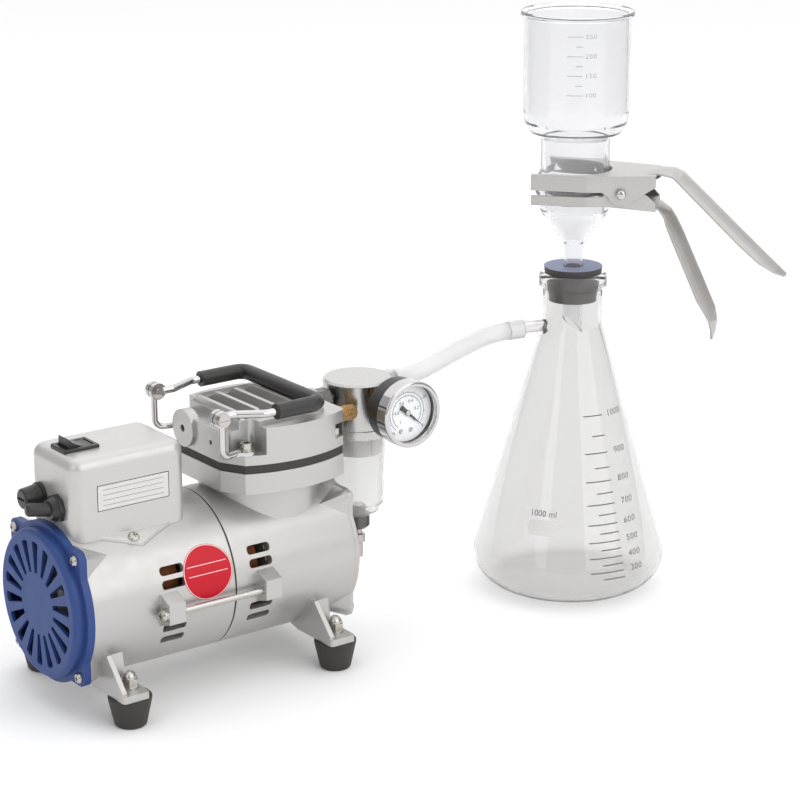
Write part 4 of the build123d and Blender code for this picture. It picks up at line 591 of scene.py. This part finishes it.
cone_r, cone_slope = 75.5, 0.2867
scale_r, scale_share, scale_foot = 74.7, 364.6, 3.0
mark_right, mark_long, mark_short = -94.4, 21.9, 13.9
mark_line, label_gap, label_rise, label_height = 0.75, 11.4, 0.2, 4.3
patch_angle, patch_z, patch_width, patch_height, patch_corner = -148.2, 58.0, 22.0, 10.6, 4.6
capacity_rise, capacity_height = 9.4, 4.3


def flask_radius(z):
    return cone_r - cone_slope * z


def on_flask(facing):
    return on_turned(flask_axis, lambda z: flask_radius(z) + lift, facing)


def flask_mark_height(volume):
    left = scale_r ** 3 - scale_share * volume
    return scale_foot + (scale_r - left ** (1 / 3)) / cone_slope


def flask_scale():
    marks = Print()
    for volume in range(250, 1001, 50):
        z = flask_mark_height(volume)
        degree = math.radians(1) * flask_radius(z)
        full = volume % 100 == 0
        marks.bar(-(mark_long if full else mark_short) * degree, 0, z, mark_line)
        if full:
            marks.text(str(volume), label_gap, z + label_rise, label_height, stretch=1.2, spacing=1.08)
    marks.lay("flask_scale", on_flask(mark_right), enamel_grey, "base")


def flask_patch():
    patch = Print()
    patch.stadium(0, patch_z, patch_width, patch_height, patch_corner)
    patch.lay("flask_writing_patch", on_flask(patch_angle), enamel_white, "base")
    capacity = Print()
    capacity.text("1000 ml", 0, patch_z + capacity_rise, capacity_height)
    capacity.lay("flask_capacity", on_flask(patch_angle), enamel_grey, "base")


flask_scale()
flask_patch()


# Funnel scale

funnel_r, funnel_facing = 36.2, -123.8
funnel_first_volume, funnel_first_z, funnel_step = 100, 357.0, 0.262
funnel_mark_long, funnel_mark_short, funnel_mark_line = 10.6, 4.8, 0.45
funnel_label_gap, funnel_label_height = 5.4, 3.1


def funnel_scale():
    marks = Print()
    for volume in range(100, 251, 25):
        z = funnel_first_z + (volume - funnel_first_volume) * funnel_step
        full = volume % 50 == 0
        marks.bar(-(funnel_mark_long if full else funnel_mark_short), 0, z, funnel_mark_line)
        if full:
            marks.text(str(volume), funnel_label_gap, z, funnel_label_height, stretch=1.2, spacing=1.1)
    place = on_turned(funnel_axis, lambda z: funnel_r + lift, funnel_facing)
    marks.lay("funnel_scale", place, enamel_pale, "filter")


funnel_scale()


# Gauge dial

dial_start, dial_sweep = -41.0, 270.0
inner_ring_r, outer_ring_r, ring_line = 11.6, 13.6, 0.25
inner_steps, outer_steps, steps_per_long_mark = 50, 38, 5
mark_line_long, mark_line_short = 0.32, 0.16
inner_numbers = ("0", "0.2", "0.4", "0.6", "0.8", "1")
outer_numbers = {"0": 0, "20": 10, "40": 20, "60": 30, "76": 38}
inner_number_r, inner_number_height, outer_number_r, outer_number_height = 8.0, 2.3, 16.9, 2.2


def dial_angle(share):
    return dial_start + dial_sweep * share


def dial_ring(dial, ring_r, steps, long_reach, short_reach):
    """Ring with its divisions, which reach inward where the reach is negative."""
    dial.arc(ring_r, ring_line, dial_start, dial_start + dial_sweep)
    for step in range(steps + 1):
        long_mark = step % steps_per_long_mark == 0
        ends = sorted((ring_r, ring_r + (long_reach if long_mark else short_reach)))
        dial.spoke(dial_angle(step / steps), *ends, mark_line_long if long_mark else mark_line_short)


def dial_number(dial, number, share, radius, height):
    angle = math.radians(dial_angle(share))
    dial.text(number, radius * math.cos(angle), radius * math.sin(angle), height)


def gauge_print():
    dial = Print()
    dial_ring(dial, inner_ring_r, inner_steps, -1.2, -0.6)
    dial_ring(dial, outer_ring_r, outer_steps, 1.4, 0.7)
    for step, number in enumerate(inner_numbers):
        dial_number(dial, number, step / (len(inner_numbers) - 1), inner_number_r, inner_number_height)
    for number, step in outer_numbers.items():
        dial_number(dial, number, step / outer_steps, outer_number_r, outer_number_height)
    place = on_front(gauge_axis.x, dial_front - lift * mm, gauge_axis.z)
    dial.lay("dial_print", place, dial_ink, "base")


dial_screw_places, dial_screw_drop, dial_screw_lift = (-4.9, 3.1), 12.2, 0.02


def dial_screws():
    head = [(0, 0), (1.55, 0), (1.6, 0.35), (1.2, 0.7), (0.8, 0.78), (0.7, 0.4), (0, 0.35)]
    y, z = dial_front - dial_screw_lift * mm, gauge_axis.z - dial_screw_drop * mm
    for index, x in enumerate(dial_screw_places):
        turned(head, f"dial_screw_{index + 1}", (gauge_axis.x + x * mm, y, z), (0, -1, 0),
               finishes["plated_rod"], "base", sides=28)


def pointer_hub():
    pointer_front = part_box("gauge_pointer")[0].y
    hub = [(0, -0.3), (1.9, -0.3), (2.0, 0.2), (1.7, 0.75), (1.0, 0.9), (0.85, 0.6), (0, 0.6)]
    turned(hub, "pointer_hub", (gauge_axis.x, pointer_front, gauge_axis.z), (0, -1, 0),
           finishes["plated_rod"], "pointer")


gauge_print()
dial_screws()
pointer_hub()


# Domed caps of the foot nuts and heads of the clamp pin

foot_washer_r, cap_drop, cap_r, cap_height, cap_skirt = 5.8, 4.4, 4.6, 4.9, 0.1
clamp_turn, pin_reach = 47.5, 27.5


def foot_caps():
    low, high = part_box("foot_bolts")
    inset = foot_washer_r * mm
    angles = [math.radians(step * 9) for step in range(10)]
    arch = [(cap_r * math.cos(a), cap_height * math.sin(a)) for a in angles]
    dome = [(0, -cap_skirt), (cap_r, -cap_skirt)] + arch + [(0, cap_height)]
    spots = [(x, y) for x in (low.x + inset, high.x - inset) for y in (low.y + inset, high.y - inset)]
    for index, (x, y) in enumerate(spots):
        turned(dome, f"cap_nut_{index + 1}", (x, y, high.z - cap_drop * mm), (0, 0, 1),
               finishes["zinc_steel"], "base", sides=36)


def pin_heads():
    low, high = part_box("clamp_pin")
    centre = (low + high) / 2
    turn = math.radians(-clamp_turn)
    outward = Vector((math.sin(turn), -math.cos(turn), 0))
    head = [(0, -1.2), (3.4, -1.2), (3.4, 0.2), (2.9, 1.0), (1.8, 1.5), (0, 1.6)]
    for index, side in enumerate((1, -1)):
        turned(head, f"pin_head_{index + 1}", centre + outward * side * pin_reach * mm, outward * side,
               finishes["plated_rod"], "upper_jaw", sides=36)


foot_caps()
pin_heads()


# Sticker and label, left without words

sticker_x, sticker_angle, sticker_r = -19.5, 16.9, 18.0
sticker_border, sticker_inset, sticker_line, sticker_margin = 0.5, 0.6, 0.45, 3.6
sticker_lines = (5.2, -1.0)
label_x, label_z, label_wide, label_tall, label_corner = -59.2, 141.0, 51.5, 17.0, 0.4
label_border, label_inset_side, label_inset_up, label_margin, label_line = 0.45, 0.2, 0.3, 4.0, 0.22
label_lines, label_first_line, label_line_step = 4, 5.1, 3.4


def raised(place, height):
    """The same surface, with every point lifted a little more."""
    return lambda u, v, w: place(u, v, w + height)


def round_sticker():
    place = on_barrel(motor_axis.x + sticker_x * mm, sticker_angle)
    field = Print()
    field.disc(sticker_r)
    field.lay("round_sticker", raised(place, lift), sticker_red, "base")
    lines = Print()
    lines.arc(sticker_r - sticker_inset, sticker_border, 0, 360)
    for v in sticker_lines:
        lines.bar(sticker_margin - sticker_r, sticker_r - sticker_margin, v, sticker_line)
    lines.lay("round_sticker_border", raised(place, lift + ink), sticker_pale, "base")


def box_label():
    place = on_front(motor_axis.x + label_x * mm, box_front, label_z * mm)
    half_width, half_height = label_wide / 2, label_tall / 2
    field = Print()
    field.stadium(0, 0, label_wide, label_tall, label_corner, steps=4)
    field.lay("box_label", raised(place, lift), label_film, "base")
    lines = Print()
    for v in (label_inset_up - half_height, half_height - label_inset_up):
        lines.bar(-half_width, half_width, v, label_border)
    for k in range(label_lines):
        v = label_first_line - label_line_step * k
        lines.bar(label_margin - half_width, half_width - label_margin, v, label_line)
    for u in (label_inset_side - half_width, half_width - label_inset_side):
        lines.upright_bar(u, label_inset_up - half_height, half_height - label_inset_up, label_border)
    lines.lay("box_label_border", raised(place, lift + ink), label_ink, "base")


round_sticker()
box_label()


# Floor and light

floor_radius, floor_drop = 14.0, 0.0002
bright_way, bright_strength, dim_strength = (0.54, 0.73, 0.42), 1.28, 0.5
card_ahead, card_right = Vector((0.595, 0.804, 0)), Vector((0.804, -0.595, 0))
card_near, card_far, card_height, card_away = -0.5, 1.6, 1.0, 1.25


def floor():
    bm = bmesh.new()
    bmesh.ops.create_circle(bm, cap_ends=True, segments=96, radius=floor_radius)
    mesh = bpy.data.meshes.new("floor")
    bm.to_mesh(mesh)
    bm.free()
    obj = bpy.data.objects.new("floor", mesh)
    obj.location.z = cad_low.z - floor_drop
    pale = finish_of("floor_pale", (0.93, 0.93, 0.93), 0.7, mottle=0.005, mottle_size=400, grain_size=8,
                     edge=0.0, Specular_IOR_Level=0.0)
    obj.data.materials.append(pale)
    scene.collection.objects.link(obj)


def softbox(name, place, target, size, power):
    data = bpy.data.lights.new(name, "AREA")
    data.shape = "RECTANGLE"
    data.size, data.size_y = size
    data.energy = power
    light = bpy.data.objects.new(name, data)
    light.location = place
    light.rotation_euler = (Vector(target) - Vector(place)).to_track_quat("-Z", "Y").to_euler()
    light.visible_camera = False
    scene.collection.objects.link(light)


def sky():
    """White studio, brightest above and behind the object, so that metal and glass have edges."""
    world = bpy.data.worlds.new("studio")
    world.use_nodes = True
    scene.world = world
    tree = world.node_tree
    where = add(tree, "ShaderNodeTexCoord")
    toward = add(tree, "ShaderNodeVectorMath", operation="DOT_PRODUCT")
    toward.inputs[1].default_value = bright_way
    tree.links.new(where.outputs["Generated"], toward.inputs[0])
    strength = spread(tree, toward.outputs["Value"], dim_strength, bright_strength, -0.6, 0.7)
    tree.links.new(strength, tree.nodes["Background"].inputs["Strength"])
    tree.nodes["Background"].inputs["Color"].default_value = (0.99, 0.99, 1.0, 1)


def grey_card(name, side):
    """Upright grey card beside the set. Only reflections and glass see it, as thin darker edges."""
    middle_line = card_right * side * card_away + Vector((0, 0, cad_low.z))
    rectangle = ((card_near, 0), (card_far, 0), (card_far, card_height), (card_near, card_height))
    corners = [middle_line + card_ahead * ahead + Vector((0, 0, up)) for ahead, up in rectangle]
    mesh = bpy.data.meshes.new(name)
    mesh.from_pydata(corners, [], [(0, 1, 2, 3)])
    card = bpy.data.objects.new(name, mesh)
    card.data.materials.append(finish_of(name, (0.42, 0.42, 0.425), 0.9, edge=0.0))
    card.visible_camera = card.visible_diffuse = card.visible_shadow = False
    scene.collection.objects.link(card)


def studio():
    sky()
    softbox("overhead", place=(0.1, 0.0, 2.2), target=(0, 0, 0), size=(3.0, 2.4), power=9)
    softbox("key", place=(0.5, -2.1, 1.3), target=(0, 0, 0.15), size=(2.8, 2.1), power=26)
    softbox("left", place=(-2.0, -0.6, 1.1), target=(0, 0, 0.15), size=(0.7, 1.4), power=4)
    grey_card("dark_card_left", -1)
    grey_card("dark_card_right", 1)
    scene.view_settings.view_transform = "Standard"


floor()
studio()

bpy.context.view_layer.update()
